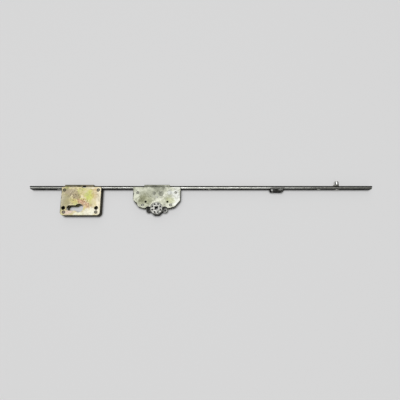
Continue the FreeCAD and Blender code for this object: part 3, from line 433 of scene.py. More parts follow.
def lay_patches(tree, colour, place, rows, kind="Mask"):
    """Lays the patches of a table over a colour, one after the other."""
    for middle, half, tint, amount, lean in rows:
        patch = use_group(tree, PATCH, Vector=place, Middle_X=middle[0], Middle_Y=middle[1],
                          Half_X=half[0], Half_Y=half[1], Lean=math.radians(lean))
        colour = blend_colours(tree, times(tree, patch.outputs[kind], amount), colour, tint)
    return colour


# %% [markdown]
# ### Zinc-plated steel and zinc castings
# One function makes all the grey metals, because they differ only in colour, in how cloudy they are and
# in how rough they are. Its `cut_shade` colour goes on the faces that a punch or shear left, which zinc
# grips badly, and on faces where shade is painted. Its `bare` colour is the metal under the plating, in
# scratches and on worn edges.

# %% Grey metals
def grey_metal(name, light, dark, cut_shade, bare, rough, clouds=40.0, grain=2500.0, lines=0.0, wear=0.7,
               scratches=0.5, smudges=0.5, patches=()):
    tree, shader, place = start_metal(name)
    plating, marks, worn = surface_effects(tree, place, clouds, grain, scratches, smudges, wear)
    colour = blend_colours(tree, plating["Cloud"], dark, light)
    colour = blend_colours(tree, times(tree, plating["Grain"], GRAIN_SHARE), colour, dark)
    height = plating["Height"]
    if lines > 0:
        drawn = use_group(tree, DRAWN, Vector=place, Fineness=1.0).outputs
        colour = blend_colours(tree, times(tree, drawn["Line"], 0.5 * lines), colour, light)
        height = plus(tree, height, times(tree, drawn["Height"], lines))
    colour = lay_patches(tree, colour, place, patches)
    colour_shader(tree, shader, colour, cut_shade, marks, bare, worn, bare)
    dulled = times(tree, marks["Smudge"], SMUDGE_DULLS)
    cloudy = between(tree, plating["Cloud"], 0.0, 1.0, rough + THIN_ROUGHER, rough - THICK_SMOOTHER)
    polished = times(tree, worn, EDGE_POLISH)
    dull_cuts_and_shade(tree, shader, 1.0, plus(tree, plus(tree, cloudy, dulled), polished))
    raise_bumps(tree, shader, height)


# The faceplate's edges are painted near-black shade, and its high wear paints a highlight on their rear
# corner.
grey_metal("faceplate_steel", light=(0.60, 0.60, 0.57), dark=(0.45, 0.46, 0.42), cut_shade=(0.014, 0.014, 0.012),
           bare=(0.80, 0.80, 0.76), rough=0.34, lines=0.6, wear=0.95)
grey_metal("rod_steel", light=(0.88, 0.89, 0.84), dark=(0.72, 0.73, 0.65), cut_shade=(0.03, 0.03, 0.027),
           bare=(0.85, 0.85, 0.82), rough=0.30, lines=0.7, wear=0.3,
           # Both patches are painted shade on the rod's edge: one at the block, one dulling its right part.
           patches=[((240.0, 41.4), (15.0, 5.0), (0.26, 0.26, 0.24), 0.8, 0),
                    ((390.0, 41.4), (105.0, 9.0), (0.46, 0.46, 0.41), 0.85, 0)])
# The casting is kept very dark as painted shade in the gaps by the hub. Its light patch on the right ear is
# a painted highlight.
grey_metal("zinc_casting", light=(0.20, 0.20, 0.18), dark=(0.09, 0.09, 0.08), cut_shade=(0.04, 0.04, 0.036),
           bare=(0.55, 0.55, 0.5), rough=0.46, clouds=170.0, grain=1400.0, wear=0.6,
           patches=[((17.3, -2.5), (5.0, 6.0), (0.34, 0.34, 0.32), 0.9, 0)])
grey_metal("hub_zinc", light=(0.50, 0.50, 0.47), dark=(0.20, 0.20, 0.18), cut_shade=(0.008, 0.008, 0.007),
           bare=(0.86, 0.86, 0.83), rough=0.34, clouds=210.0, grain=1800.0, wear=0.8)
grey_metal("gear_steel", light=(0.56, 0.56, 0.52), dark=(0.42, 0.42, 0.38), cut_shade=(0.4, 0.4, 0.37),
           bare=(0.74, 0.74, 0.7), rough=0.36, clouds=120.0, wear=0.8)
grey_metal("rivet_steel", light=(0.46, 0.46, 0.41), dark=(0.32, 0.32, 0.27), cut_shade=(0.06, 0.06, 0.05),
           bare=(0.66, 0.66, 0.62), rough=0.38, clouds=260.0, wear=0.5)
grey_metal("spring_steel", light=(0.44, 0.45, 0.46), dark=(0.32, 0.33, 0.34), cut_shade=(0.3, 0.3, 0.3),
           bare=(0.66, 0.66, 0.66), rough=0.27, clouds=200.0, wear=0.5)
grey_metal("guide_zinc", light=(0.07, 0.07, 0.066), dark=(0.012, 0.012, 0.01), cut_shade=(0.012, 0.012, 0.01),
           bare=(0.34, 0.34, 0.32), rough=0.5, clouds=300.0, grain=1200.0, wear=0.15,
           # These two light patches on the block's top are painted highlights.
           patches=[((229.5, 37.0), (1.7, 1.4), (0.5, 0.5, 0.49), 0.9, 0),
                    ((246.0, 38.0), (5.0, 2.2), (0.26, 0.26, 0.25), 0.8, 0)])
grey_metal("cam_steel", light=(0.46, 0.46, 0.43), dark=(0.26, 0.26, 0.23), cut_shade=(0.05, 0.05, 0.045),
           bare=(0.76, 0.76, 0.72), rough=0.2, clouds=220.0, wear=0.6)
grey_metal("roller_steel", light=(0.80, 0.80, 0.78), dark=(0.68, 0.68, 0.65), cut_shade=(0.02, 0.02, 0.018),
           bare=(0.9, 0.9, 0.88), rough=0.07, clouds=200.0, wear=0.0, scratches=0.15, smudges=0.1)
print("grey metals:", len(METALS))

# %% [markdown]
# ### The gearbox's sheet
# Its plating is thin and olive left of the middle, where the sheet lay against another one in the bath.
# A band that rises to the right is a painted highlight, the right-hand end is lighter, and the lug and
# the rims are painted shade. A painted picture could say all that too, but patches need no unwrapping
# and stay sharp close up. The shade on the rims is laid last, over the grain.

# %% Gearbox sheet
GEARBOX_PATCHES = (
    ((-10.0, 20.0), (26.0, 15.0), (0.31, 0.315, 0.215), 0.65, 8),
    ((-28.0, 17.0), (15.0, 9.0), (0.24, 0.245, 0.15), 0.7, -8),
    ((-2.0, 33.0), (19.0, 9.0), (0.28, 0.29, 0.235), 0.7, 0),
    ((-40.0, 29.0), (6.0, 13.0), (0.60, 0.62, 0.52), 0.7, 0),
    # A painted highlight: the band that rises to the right.
    ((7.0, 20.0), (28.0, 4.2), (0.64, 0.64, 0.56), 0.85, 36),
    ((38.0, 22.0), (9.0, 21.0), (0.76, 0.77, 0.74), 0.85, 0),
    ((26.0, 31.0), (6.0, 6.0), (0.72, 0.74, 0.73), 0.7, 0),
    ((27.0, 16.0), (9.0, 6.0), (0.44, 0.46, 0.28), 0.75, 0),
    ((2.0, 6.0), (18.0, 6.0), (0.52, 0.52, 0.45), 0.5, 0),
    # A painted shade on the lug.
    ((1.0, 43.6), (22.0, 3.6), (0.20, 0.205, 0.165), 0.75, 0),
    ((1.0, 24.5), (14.0, 5.5), (0.34, 0.35, 0.285), 0.85, 0),
)
GEARBOX_SPOTS = (
    ((-24.0, 17.0), (19.0, 11.0), (0.15, 0.15, 0.085), 0.6, -8),
    ((-2.0, 32.0), (18.0, 9.0), (0.20, 0.205, 0.15), 0.45, 0),
    ((26.0, 20.0), (13.0, 9.0), (0.26, 0.27, 0.15), 0.5, 0),
)
# Painted shade along the left, lower left and right rims.
GEARBOX_RIM_SHADE = (
    ((-48.5, 26.0), (3.3, 20.0), (0.03, 0.03, 0.026), 0.95, 0),
    ((-42.4, 9.2), (11.5, 3.3), (0.03, 0.03, 0.026), 0.95, -50),
    ((48.2, 22.0), (2.1, 20.0), (0.04, 0.04, 0.035), 0.9, 0),
)
MOTTLED_SHARE = 0.25


def gearbox_metal(name):
    tree, shader, place = start_metal(name)
    plating, marks, worn = surface_effects(tree, place, clouds=70.0, grain=2500.0, scratches=0.5,
                                           smudges=0.8, wear=0.85)
    colour = blend_colours(tree, plating["Cloud"], (0.38, 0.39, 0.30), (0.50, 0.51, 0.43))
    colour = lay_patches(tree, colour, place, GEARBOX_PATCHES)
    colour = lay_patches(tree, colour, place, GEARBOX_SPOTS, "Spots")
    colour = blend_colours(tree, times(tree, plating["Cloud"], MOTTLED_SHARE), colour, (0.36, 0.37, 0.28))
    colour = blend_colours(tree, times(tree, plating["Grain"], GRAIN_SHARE), colour, (0.30, 0.31, 0.23))
    colour = lay_patches(tree, colour, place, GEARBOX_RIM_SHADE)
    colour_shader(tree, shader, colour, (0.04, 0.04, 0.034), marks, (0.72, 0.72, 0.68), worn,
                  (0.78, 0.78, 0.74))
    dulled = times(tree, marks["Smudge"], SMUDGE_DULLS)
    cloudy = between(tree, plating["Cloud"], 0.0, 1.0, 0.46, 0.36)
    dull_cuts_and_shade(tree, shader, 1.0, plus(tree, cloudy, dulled))
    raise_bumps(tree, shader, plating["Height"])


gearbox_metal("gearbox_sheet")
print("patches on the gearbox:", len(GEARBOX_PATCHES) + len(GEARBOX_SPOTS) + len(GEARBOX_RIM_SHADE))

# %% [markdown]
# ### Yellow-passivated sheet
# The lock case came from another bath than the gearbox: it is straw-coloured, with a rainbow film. On
# this one the film runs from dull khaki at the left, over yellow-green right of the middle, to pink and
# cream near the foot. Patches say where it changes, and the film group's own noise breaks them up.

# %% Yellow sheet
CASE_PATCHES = (
    ((-178.0, 18.0), (8.0, 20.0), (0.34, 0.31, 0.15), 0.7, 0),
    ((-186.0, 18.0), (4.0, 26.0), (0.50, 0.46, 0.31), 0.6, 0),
    ((-180.0, 35.0), (9.0, 5.0), (0.44, 0.40, 0.26), 0.6, 0),
    ((-170.0, 33.0), (11.0, 6.0), (0.50, 0.41, 0.31), 0.7, 0),
    ((-160.0, 26.0), (7.0, 11.0), (0.40, 0.33, 0.20), 0.75, 25),
    ((-163.0, 14.0), (7.0, 5.0), (0.68, 0.58, 0.22), 0.7, 0),
    ((-146.0, 30.0), (8.0, 7.0), (0.66, 0.58, 0.26), 0.6, 0),
    ((-134.0, 26.0), (9.0, 13.0), (0.58, 0.64, 0.14), 0.75, 10),
    ((-122.0, 30.0), (5.0, 12.0), (0.74, 0.56, 0.30), 0.55, 0),
    ((-146.0, 12.0), (11.0, 4.0), (0.64, 0.40, 0.28), 0.7, -28),
    ((-136.0, 3.0), (7.0, 7.0), (0.70, 0.48, 0.25), 0.65, 0),
    ((-174.0, -8.0), (12.0, 3.5), (0.92, 0.73, 0.64), 0.85, 0),
    ((-152.0, -11.0), (14.0, 3.0), (0.88, 0.89, 0.70), 0.8, 0),
    ((-128.0, -7.0), (16.0, 8.0), (0.90, 0.88, 0.74), 0.9, 0),
    ((-115.0, 12.0), (5.0, 26.0), (0.90, 0.83, 0.66), 0.8, 0),
    # The two lip rows are painted shade on the folded lip.
    ((-164.0, 47.4), (17.0, 3.6), (0.13, 0.12, 0.08), 0.95, 0),
    ((-136.0, 47.4), (11.0, 3.6), (0.40, 0.32, 0.26), 0.85, 0),
    # Painted shade along the left rim and the foot.
    ((-190.5, 6.0), (2.7, 36.0), (0.05, 0.045, 0.03), 0.92, 0),
    ((-140.0, -14.3), (44.0, 1.0), (0.16, 0.15, 0.11), 0.3, 0),
)
CASE_SPOTS = (
    ((-162.0, 29.0), (13.0, 12.0), (0.15, 0.10, 0.06), 0.85, 25),
    ((-142.0, 10.0), (16.0, 7.0), (0.32, 0.12, 0.07), 0.85, -25),
    ((-124.0, 28.0), (9.0, 12.0), (0.48, 0.30, 0.10), 0.6, 0),
    ((-172.0, 6.0), (14.0, 12.0), (0.34, 0.31, 0.18), 0.6, 0),
)
DULL_YELLOW = (0.50, 0.46, 0.31)


def yellow_metal(name, cut_shade, bare, rough, wear, dull):
    """dull says how much of the dull yellow shows where the plating's clouds are thin and thick."""
    tree, shader, place = start_metal(name)
    film = use_group(tree, FILM, Vector=place, Thickness=0.27, Unevenness=0.45).outputs
    plating, marks, worn = surface_effects(tree, place, clouds=60.0, grain=2200.0, scratches=0.7,
                                           smudges=0.8, wear=wear)
    colour = lay_patches(tree, film["Color"], place, CASE_PATCHES)
    colour = lay_patches(tree, colour, place, CASE_SPOTS, "Spots")
    colour = blend_colours(tree, between(tree, plating["Cloud"], 0.0, 1.0, *dull), colour, DULL_YELLOW)
    colour_shader(tree, shader, colour, cut_shade, marks, bare, worn, bare)
    dulled = times(tree, marks["Smudge"], 0.2)
    patchy = between(tree, film["Height"], 0.3, 0.7, rough, rough + 0.1)
    dull_cuts_and_shade(tree, shader, 0.9, plus(tree, patchy, dulled))
    height = plus(tree, plating["Height"], film["Height"])
    raise_bumps(tree, shader, height, strength=0.3, depth=0.00004)


yellow_metal("yellow_sheet", cut_shade=(0.04, 0.035, 0.02), bare=(0.86, 0.82, 0.66), rough=0.38, wear=0.8,
             dull=(0.0, 0.3))
yellow_metal("case_rivet_steel", cut_shade=(0.04, 0.04, 0.03), bare=(0.62, 0.6, 0.5), rough=0.36, wear=0.5,
             dull=(0.1, 0.4))
print("all metals:", sorted(METALS))

# %% [markdown]
# ## Breaking the edges
# No punched, cast or turned edge is razor sharp. A tumbling drum rounds them by a few tenths of a
# millimetre, and that is what catches the light. The CAD solids have ideal edges and may not be changed.
# So each solid's triangles are copied, welded and merged into flat faces again, and then a bevel runs
# along every edge that turns by more than 40 degrees. The copy stands for the node from then on.
# A bevel modifier would do it too, but a bmesh bevel tells us which faces it made, and those get painted.

# %% Copy, weld and bevel
WELD_WITHIN = 0.002 * MM
SPLIT_WITHIN = 0.001 * MM
FLAT_WITHIN = math.radians(0.4)
SHARP_ABOVE = math.radians(40.0)
CREASE_ABOVE = math.radians(50.0)


def count_open(mesh):
    """Edges that don't join exactly two faces. A closed shell has none."""
    return sum(1 for edge in mesh.edges if len(edge.link_faces) != 2)


def welded_copy(node):
    """The node's triangles, welded into one closed shell with flat faces in one piece."""
    mesh = bmesh.new()
    mesh.from_mesh(frame["nodes"][node].data)
    bmesh.ops.remove_doubles(mesh, verts=mesh.verts[:], dist=WELD_WITHIN)
    bmesh.ops.dissolve_limit(mesh, angle_limit=FLAT_WITHIN, verts=mesh.verts[:], edges=mesh.edges[:])
    return mesh


def break_edges(mesh, width, segments):
    """Bevels the sharp edges and paints the new faces as worn_edge."""
    worn = mesh.faces.layers.float.new("worn_edge")
    sharp = [edge for edge in mesh.edges
             if len(edge.link_faces) == 2 and edge.calc_face_angle() > SHARP_ABOVE]
    made = bmesh.ops.bevel(mesh, geom=sharp, offset=width, segments=segments, profile=0.5,
                           affect="EDGES", clamp_overlap=True, material=-1)
    for face in made["faces"]:
        face[worn] = 1.0
    return len(sharp)


print("edges that turn by more than", round(math.degrees(SHARP_ABOVE)), "degrees get broken")

# %% [markdown]
# A second attribute, cut_and_shade, says how dark a face is: it holds the dark cut edges, and painted
# shade and painted dark reflections. A small function for each piece decides that from the middle and
# the direction of the face, so the paint follows the metal's shape. A shader could work it out too, but
# only point by point, and it knows nothing of where a face ends.

# %% Paint, and put in the scene
def paint_dark(mesh, how_dark):
    """Paints cut_and_shade, for cut edges and painted shade, by how_dark(middle in mm, normal, is it a
    bevel). Dark bevels lose their wear.
    """
    cut_shade = mesh.faces.layers.float.new("cut_and_shade")
    worn = mesh.faces.layers.float["worn_edge"]
    for face in mesh.faces:
        amount = how_dark(face.calc_center_median() / MM, face.normal, face[worn] > 0.5)
        face[cut_shade] = amount
        face[worn] = face[worn] * (1.0 - amount)


def put_in_scene(mesh, name, body, slot, replaced):
    """Turns a bmesh into a finished piece that rides on its body, in its slot's metal, for its node."""
    data = bpy.data.meshes.new(name)
    mesh.to_mesh(data)
    mesh.free()
    data.polygons.foreach_set("use_smooth", [True] * len(data.polygons))
    data.set_sharp_from_angle(angle=CREASE_ABOVE)
    data.materials.append(METALS[slot])
    piece = bpy.data.objects.new(name, data)
    bpy.context.scene.collection.objects.link(piece)
    even = piece.modifiers.new("even_shading", "WEIGHTED_NORMAL")
    even.keep_sharp = True
    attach(piece, body)
    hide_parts(replaced)


def finish_node(node, width, how_dark=None, segments=2, splits=()):
    """Breaks a node's edges by a width in mm, and paints its dark faces."""
    mesh = welded_copy(node)
    before = len(mesh.faces)
    edges = break_edges(mesh, width * MM, segments)
    for point, across in splits:
        bmesh.ops.bisect_plane(mesh, geom=mesh.verts[:] + mesh.edges[:] + mesh.faces[:], dist=SPLIT_WITHIN,
                               plane_co=Vector(point) * MM, plane_no=across)
    if how_dark is not None:
        paint_dark(mesh, how_dark)
    print(node, "faces", before, "->", len(mesh.faces), "edges broken", edges, "open", count_open(mesh))
    put_in_scene(mesh, node + "_finished", BODY_OF[node], SLOT_OF[node], node)


print("helpers ready, up to finish_node")

# %% [markdown]
# ### The bar
# The faceplate is slit from steel strip. Its long edges are painted near black, partly for the sheared
# metal and partly as painted shade, and only their rear corner is worn bright, as a painted highlight.
# The rod behind it is rolled flat steel: its broad faces are painted dark, partly for mill scale and
# partly as painted shade. Its edges are bright, apart from their rear part, which is painted shade and
# wider left of the gearbox. Bisects cut these lines into the mesh, because a painted boundary has to run
# along an edge. The block is a dark casting whose walls are painted shade.
# The paint functions ask where a face looks. Its normal says that: a face runs along an axis where its
# normal has little of that axis, and looks towards it where it has much.

# %% Break the edges of the bar
ALONG = 0.35
TOWARDS = 0.7
UPWARDS = 0.5
# Below these Y values the rod's edges are painted shade.
ROD_BRIGHT_FROM = {"left": 41.6, "right": 41.2}
ROD_SPLITS = (((0.0, ROD_BRIGHT_FROM["left"], 0.0), (0.0, 1.0, 0.0)),
              ((0.0, ROD_BRIGHT_FROM["right"], 0.0), (0.0, 1.0, 0.0)),
              ((0.0, 0.0, 0.0), (1.0, 0.0, 0.0)))
FACEPLATE_MIDDLE = 44.0
BLOCK_WALL_SHADE = 0.9


# The faceplate's edges and front bevels are painted shade; its rear bevels keep a painted highlight.
def slit_edge_dark(middle, normal, bevel):
    if bevel:
        return 1.0 if middle.y > FACEPLATE_MIDDLE else 0.0
    return 1.0 if abs(normal.y) < ALONG else 0.0


# The rod's broad faces are painted dark, for mill scale and as painted shade; the rear of its edges is
# painted shade.
def mill_scale_and_shade(middle, normal, bevel):
    if middle.y < ROD_BRIGHT_FROM["left" if middle.x < 0.0 else "right"]:
        return 1.0
    return 1.0 if abs(normal.y) > TOWARDS else 0.0


# The block's walls are painted shade.
def block_dark(middle, normal, bevel):
    return 0.0 if bevel or normal.z > UPWARDS else BLOCK_WALL_SHADE


finish_node("faceplate", width=0.35, how_dark=slit_edge_dark)
finish_node("drive_rod", width=0.4, how_dark=mill_scale_and_shade, splits=ROD_SPLITS)
finish_node("rod_retaining_rivets", width=0.12)
finish_node("rod_guide", width=0.4, how_dark=block_dark)
finish_node("rod_guide_rivets", width=0.15)

# %% [markdown]
# ### The two cases
# Their covers and backs are punched sheet. Their walls across the sheet are painted dark, partly for the
# rough punched edge and partly as painted shade, and the tumbling drum leaves bright rims round every
# hole. The folded lugs, the lips that they end in, the sunk coins and the seats of the rivets are painted
# shade. The outer rims are painted shade as well, and so are the lock case's inner faces.
# Each table holds places in millimetres, and under the bare name of a place how dark it is, from 0 to 1.

# %% Where the cases are dark
WALL_CUT_AND_SHADE = 0.94
LUG_OUTSIDE = {"above_y": 45.0, "dark": 0.2}
LUG_BEVEL_SHADE = {"above_y": 42.5, "dark": 0.9}
LIP_ABOVE = {"y": 43.2, "z": 7.2}
SUNK_ABOVE_Z = 8.0
GEARBOX = {"sunk_below": 8.7, "recess_shade": 0.3, "lip_turns_at": -2.0, "lip_left": 0.35, "lip_right": 0.2,
           "middle_y": 25.0, "rim_beyond_x": 30.0, "rim_shade": 0.97}
CASE = {"sunk_below": 8.75, "recess_shade": 0.9, "lip": 0.45, "flange_z": 7.0, "flange_within": 0.05,
        "flange": 0.6, "rim_left": -188.3, "rim_right": -111.9, "rim_foot": -13.2, "rim_shade": 0.92}
LEVEL = 0.95
SLOPING = 0.2


# Walls across the sheet are painted dark: partly the rough punched edge, partly painted shade.
def cut_wall_and_shade(middle, normal, bevel):
    if bevel or abs(normal.z) > ALONG:
        return 0.0
    if middle.y > LUG_OUTSIDE["above_y"] and abs(normal.y) > TOWARDS:
        return LUG_OUTSIDE["dark"]
    return WALL_CUT_AND_SHADE


def on_lip(middle):
    """The lip is the lug's end, folded down in front of the faceplate's edge."""
    return middle.z > LIP_ABOVE["z"] and middle.y > LIP_ABOVE["y"]


def outside_rim(middle, normal):
    """Tells the gearbox's outline from its holes: the outline's faces look away from the middle."""
    outward = normal.x * middle.x + normal.y * (middle.y - GEARBOX["middle_y"])
    return abs(middle.x) > GEARBOX["rim_beyond_x"] and abs(normal.z) < LEVEL and outward > 0.0


# Painted shade on the gearbox's lug bevels, outline bevels, lip and sunk coins.
def gearbox_dark(middle, normal, bevel):
    if bevel and middle.y > LUG_BEVEL_SHADE["above_y"] and middle.z > 0.0:
        return LUG_BEVEL_SHADE["dark"]
    if bevel and outside_rim(middle, normal):
        return GEARBOX["rim_shade"]
    if on_lip(middle):
        return GEARBOX["lip_left" if middle.x < GEARBOX["lip_turns_at"] else "lip_right"]
    if not bevel and normal.z > LEVEL and SUNK_ABOVE_Z < middle.z < GEARBOX["sunk_below"]:
        return GEARBOX["recess_shade"]
    return cut_wall_and_shade(middle, normal, bevel)


# Painted shade on the lock case's lip, rivet seats, outer bevels and inner faces.
def case_dark(middle, normal, bevel):
    sideways_rim = not CASE["rim_left"] <= middle.x <= CASE["rim_right"]
    if on_lip(middle):
        return CASE["lip"]
    if normal.z > SLOPING and SUNK_ABOVE_Z < middle.z < CASE["sunk_below"]:
        return CASE["recess_shade"]
    if bevel and (sideways_rim or middle.y < CASE["rim_foot"]):
        return CASE["rim_shade"]
    if abs(abs(middle.z) - CASE["flange_z"]) < CASE["flange_within"]:
        return CASE["flange"]
    return cut_wall_and_shade(middle, normal, bevel)


print("punched walls are", WALL_CUT_AND_SHADE, "dark, and the case's rivet seats", CASE["recess_shade"])

# %% [markdown]
# The rivets' heads get a dark ring round a paler crown: painted shade on their sloping sides. A texture
# could draw such a ring, but the direction of each face already says where the crown ends.

# %% Break the edges of the cases and their rivets
CROWN = 0.93


def rivet_ring_shade(ring, crown):
    """Paint function for rivets: painted shade in a ring round a paler crown."""
    return lambda middle, normal, bevel: ring if bevel or abs(normal.z) < CROWN else crown


for node in ("gearbox_cover", "gearbox_base"):
    finish_node(node, width=0.35, how_dark=gearbox_dark)
for node in ("lock_case_cover", "lock_case_base"):
    finish_node(node, width=0.35, how_dark=case_dark)
finish_node("gearbox_rivets", width=0.1, how_dark=rivet_ring_shade(ring=0.85, crown=0.15), segments=1)
finish_node("lock_case_rivets", width=0.1, how_dark=rivet_ring_shade(ring=0.9, crown=0.55), segments=1)

# %% [markdown]
# ### The works inside
# They are hidden while the lock lies on a table, but a part in a library gets opened and looked at.
# Only the hub's disc and the two ears show. The left ear is painted shade, and the right one gets a light
# patch as a painted highlight. The ring of holes and the square hole are drilled and broached; their
# walls and the bevels round them are painted shade, and so are the casting's walls.

# %% Break the edges of the works
HUB = {"ring_floor": 7.3, "face": 9.2, "square_reach": 5.2, "ring_reach": 11.2, "rim_from": 11.0,
       "hole_rim_shade": 0.9}
EAR = {"below_y": 6.0, "beyond_x": 11.0, "below_z": -2.0, "left_ear_shade": 0.6}
CASTING_WALL_SHADE = 0.85


# Painted shade in the ring of holes, in the square hole and on the bevels round the holes.
def hub_hole_shade(middle, normal, bevel):
    radius = math.hypot(middle.x, middle.y)
    if bevel:
        return HUB["hole_rim_shade"] if middle.z > HUB["face"] and radius < HUB["rim_from"] else 0.0
    in_square = radius < HUB["square_reach"] and abs(normal.z) < ALONG
    in_ring = HUB["ring_floor"] < middle.z < HUB["face"] and radius < HUB["ring_reach"]
    return 1.0 if in_square or in_ring else 0.0


# Painted shade on the left ear and on the casting's walls.
def casting_shade(middle, normal, bevel):
    beside_hub = middle.y < EAR["below_y"] and abs(middle.x) > EAR["beyond_x"]
    if beside_hub and middle.z < EAR["below_z"] and normal.z > UPWARDS:
        return EAR["left_ear_shade"] if middle.x < 0 else 0.0
    return 0.0 if bevel or abs(normal.z) > ALONG else CASTING_WALL_SHADE


finish_node("follower", width=0.16, how_dark=hub_hole_shade)
finish_node("gearbox_core", width=0.12, how_dark=casting_shade, segments=1)
for node in ("idler_gear", "rack", "locking_slide", "transfer_lever", "rod_catch"):
    finish_node(node, width=0.12, segments=1)
for node in ("cam_stud", "cam_roller"):
    finish_node(node, width=0.15)
for node in ("idler_pin", "rack_rivets", "catch_rivets", "slide_guide_pins", "lever_pin", "spring_post"):
    finish_node(node, width=0.1, segments=1)
finish_node("detent_plunger", width=0.08, segments=1)
finish_node("slide_leaf_spring", width=0.05, segments=1)

# %% [markdown]
# ### Tapped bushes
# The two screws of the handle go into steel bushes with a five millimetre thread. A lathe makes such a
# bush, and a spin does the same here: a profile is turned once round the axis. The thread is a row of
# ring grooves, one to a pitch of 0.8 mm. A true helix would need stitching at both ends, and nobody can
# tell the two apart inside a hole.

# %% Turn the bushes on the lathe
BUSH_X = (-21.5, 21.5)
BUSH_Y = 12.8
BUSH_OUTER = 4.0
BUSH_STEPS = 40
THREAD_CREST = 2.1
THREAD_ROOT = 2.45
PITCH = 0.8
GROOVE = (0.35, 0.45)
LEAD_IN = 0.3
CHAMFER = 0.2
HALF_LENGTH = 7.0
BORE_SHADE, END_SHADE = 1.0, 0.5


def bush_profile():
    """Radius and height in mm, up the threaded bore and down the outside."""
    turns = int(2 * HALF_LENGTH / PITCH) - 1
    first = -turns * PITCH / 2
    points = [(THREAD_ROOT + LEAD_IN, -HALF_LENGTH), (THREAD_CREST, first - CHAMFER)]
    for turn in range(turns):
        low = first + turn * PITCH
        points += [(THREAD_CREST, low)] + [(THREAD_ROOT, low + up) for up in GROOVE]
    points += [(THREAD_CREST, -first), (THREAD_CREST, -first + CHAMFER)]
    points += [(THREAD_ROOT + LEAD_IN, HALF_LENGTH), (BUSH_OUTER - CHAMFER, HALF_LENGTH)]
    points += [(BUSH_OUTER, HALF_LENGTH - CHAMFER), (BUSH_OUTER, CHAMFER - HALF_LENGTH)]
    points += [(BUSH_OUTER - CHAMFER, -HALF_LENGTH)]
    return points


def turn_profile(mesh, points, x, y, steps):
    corners = [mesh.verts.new(((x + radius) * MM, y * MM, height * MM)) for radius, height in points]
    loop = [mesh.edges.new((corners[k - 1], corners[k])) for k in range(len(corners))]
    bmesh.ops.spin(mesh, geom=corners + loop, cent=(x * MM, y * MM, 0.0), axis=(0.0, 0.0, 1.0),
                   angle=2 * math.pi, steps=steps, use_merge=True)


bushes = bmesh.new()
for x in BUSH_X:
    turn_profile(bushes, bush_profile(), x, BUSH_Y, BUSH_STEPS)
bmesh.ops.recalc_face_normals(bushes, faces=bushes.faces[:])
print("bush faces", len(bushes.faces), "open edges", count_open(bushes))
bushes.faces.layers.float.new("worn_edge")
# The bushes are painted shade: dark on their walls and half dark on their ends.
paint_dark(bushes, lambda middle, normal, bevel: BORE_SHADE if abs(normal.z) < LEVEL else END_SHADE)
put_in_scene(bushes, "tapped_bushes", BODY_OF["handle_screw_bushes"], SLOT_OF["handle_screw_bushes"],
             "handle_screw_bushes")

# %% [markdown]
# ### The detent's coil spring
# CAD keeps this spring as a ribbed sleeve, which is easy to check for clashes. Here it becomes a real
# coil. Spin can move as it turns: with a step along the axis each time, a circle of wire winds a helix.

# %% Wind the spring
SPRING_TURN = math.radians(150.0)
SPRING_START = 15.3
SPRING_LENGTH = 4.4
SPRING_Z = -4.7
WIRE_R = 0.25
WIRE_SIDES = 12
COIL_R = 1.3
COILS = 5
STEPS_PER_COIL = 28


def coil_spring():
    along = Vector((math.cos(SPRING_TURN), math.sin(SPRING_TURN), 0.0))
    steps = STEPS_PER_COIL * COILS
    advance = along * ((SPRING_LENGTH - 2 * WIRE_R) / steps)
    centre = Vector((0.0, 0.0, SPRING_Z)) + along * (SPRING_START + WIRE_R)
    mesh = bmesh.new()
    wire = bmesh.ops.create_circle(mesh, cap_ends=False, segments=WIRE_SIDES, radius=WIRE_R * MM)["verts"]
    for turn, axis in ((math.pi / 2, "X"), (SPRING_TURN, "Z")):
        bmesh.ops.rotate(mesh, verts=wire, cent=(0, 0, 0), matrix=Matrix.Rotation(turn, 3, axis))
    bmesh.ops.translate(mesh, verts=wire, vec=(centre + Vector((0.0, 0.0, COIL_R))) * MM)
    bmesh.ops.spin(mesh, geom=mesh.verts[:] + mesh.edges[:], cent=centre * MM, axis=along,
                   dvec=advance * MM, angle=2 * math.pi * COILS, steps=steps)
    bmesh.ops.holes_fill(mesh, edges=mesh.edges[:], sides=WIRE_SIDES)
    bmesh.ops.recalc_face_normals(mesh, faces=mesh.faces[:])
    return mesh


spring = coil_spring()
print("spring faces", len(spring.faces), "open edges", count_open(spring))
put_in_scene(spring, "detent_coil_spring", BODY_OF["detent_spring"], SLOT_OF["detent_spring"],
             "detent_spring")

# %% [markdown]
# ### Metal for every node
# The finished copies hide their nodes, but each node gets its slot's metal too, so that no piece is left
# without one.

# %% Give the nodes their metal
for node, thing in frame["nodes"].items():
    thing.data.materials.clear()
    thing.data.materials.append(METALS[SLOT_OF[node]])
print("metals given to", len(frame["nodes"]), "nodes")

# %% [markdown]
# ## Camera, table and light
# The photo looks down on the part from 77 degrees, with a lens of 31.5 mm on a 36 mm sensor, about
# 0.71 m away. Both were found by turning and moving the camera until the walls that show, and the bar's
# thickness in pixels, agreed with the photo.

# %% Camera
CAMERA_AT = (85.9 * MM, -139.3 * MM, 683.0 * MM)
CAMERA_AIM = (85.9 * MM, 20.4 * MM, -8.8 * MM)
CAMERA_LENS = 31.5
CAMERA_SENSOR = 36.0


def put_and_aim(name, data, place, target):
    """Puts a camera or a lamp in the scene and turns it to look at the target."""
    thing = bpy.data.objects.new(name, data)
    thing.location = place
    thing.rotation_euler = (Vector(target) - Vector(place)).to_track_quat("-Z", "Y").to_euler()
    bpy.context.scene.collection.objects.link(thing)
    return thing


lens = bpy.data.cameras.new("photo_camera")
lens.lens = CAMERA_LENS
lens.sensor_width = CAMERA_SENSOR
bpy.context.scene.camera = put_and_aim("photo_camera", lens, CAMERA_AT, CAMERA_AIM)
print("camera at", [round(v, 3) for v in CAMERA_AT])

# %% [markdown]
# ### The paper under the part
# The floor is pale paper. Brighter lamps would make it whiter, but would bleach the metal too. So the
# paper glows a little, only for the camera and for reflections, and lights nothing. Ambient occlusion
# takes the glow away within a few millimetres of the part, where paper lies in its shadow.

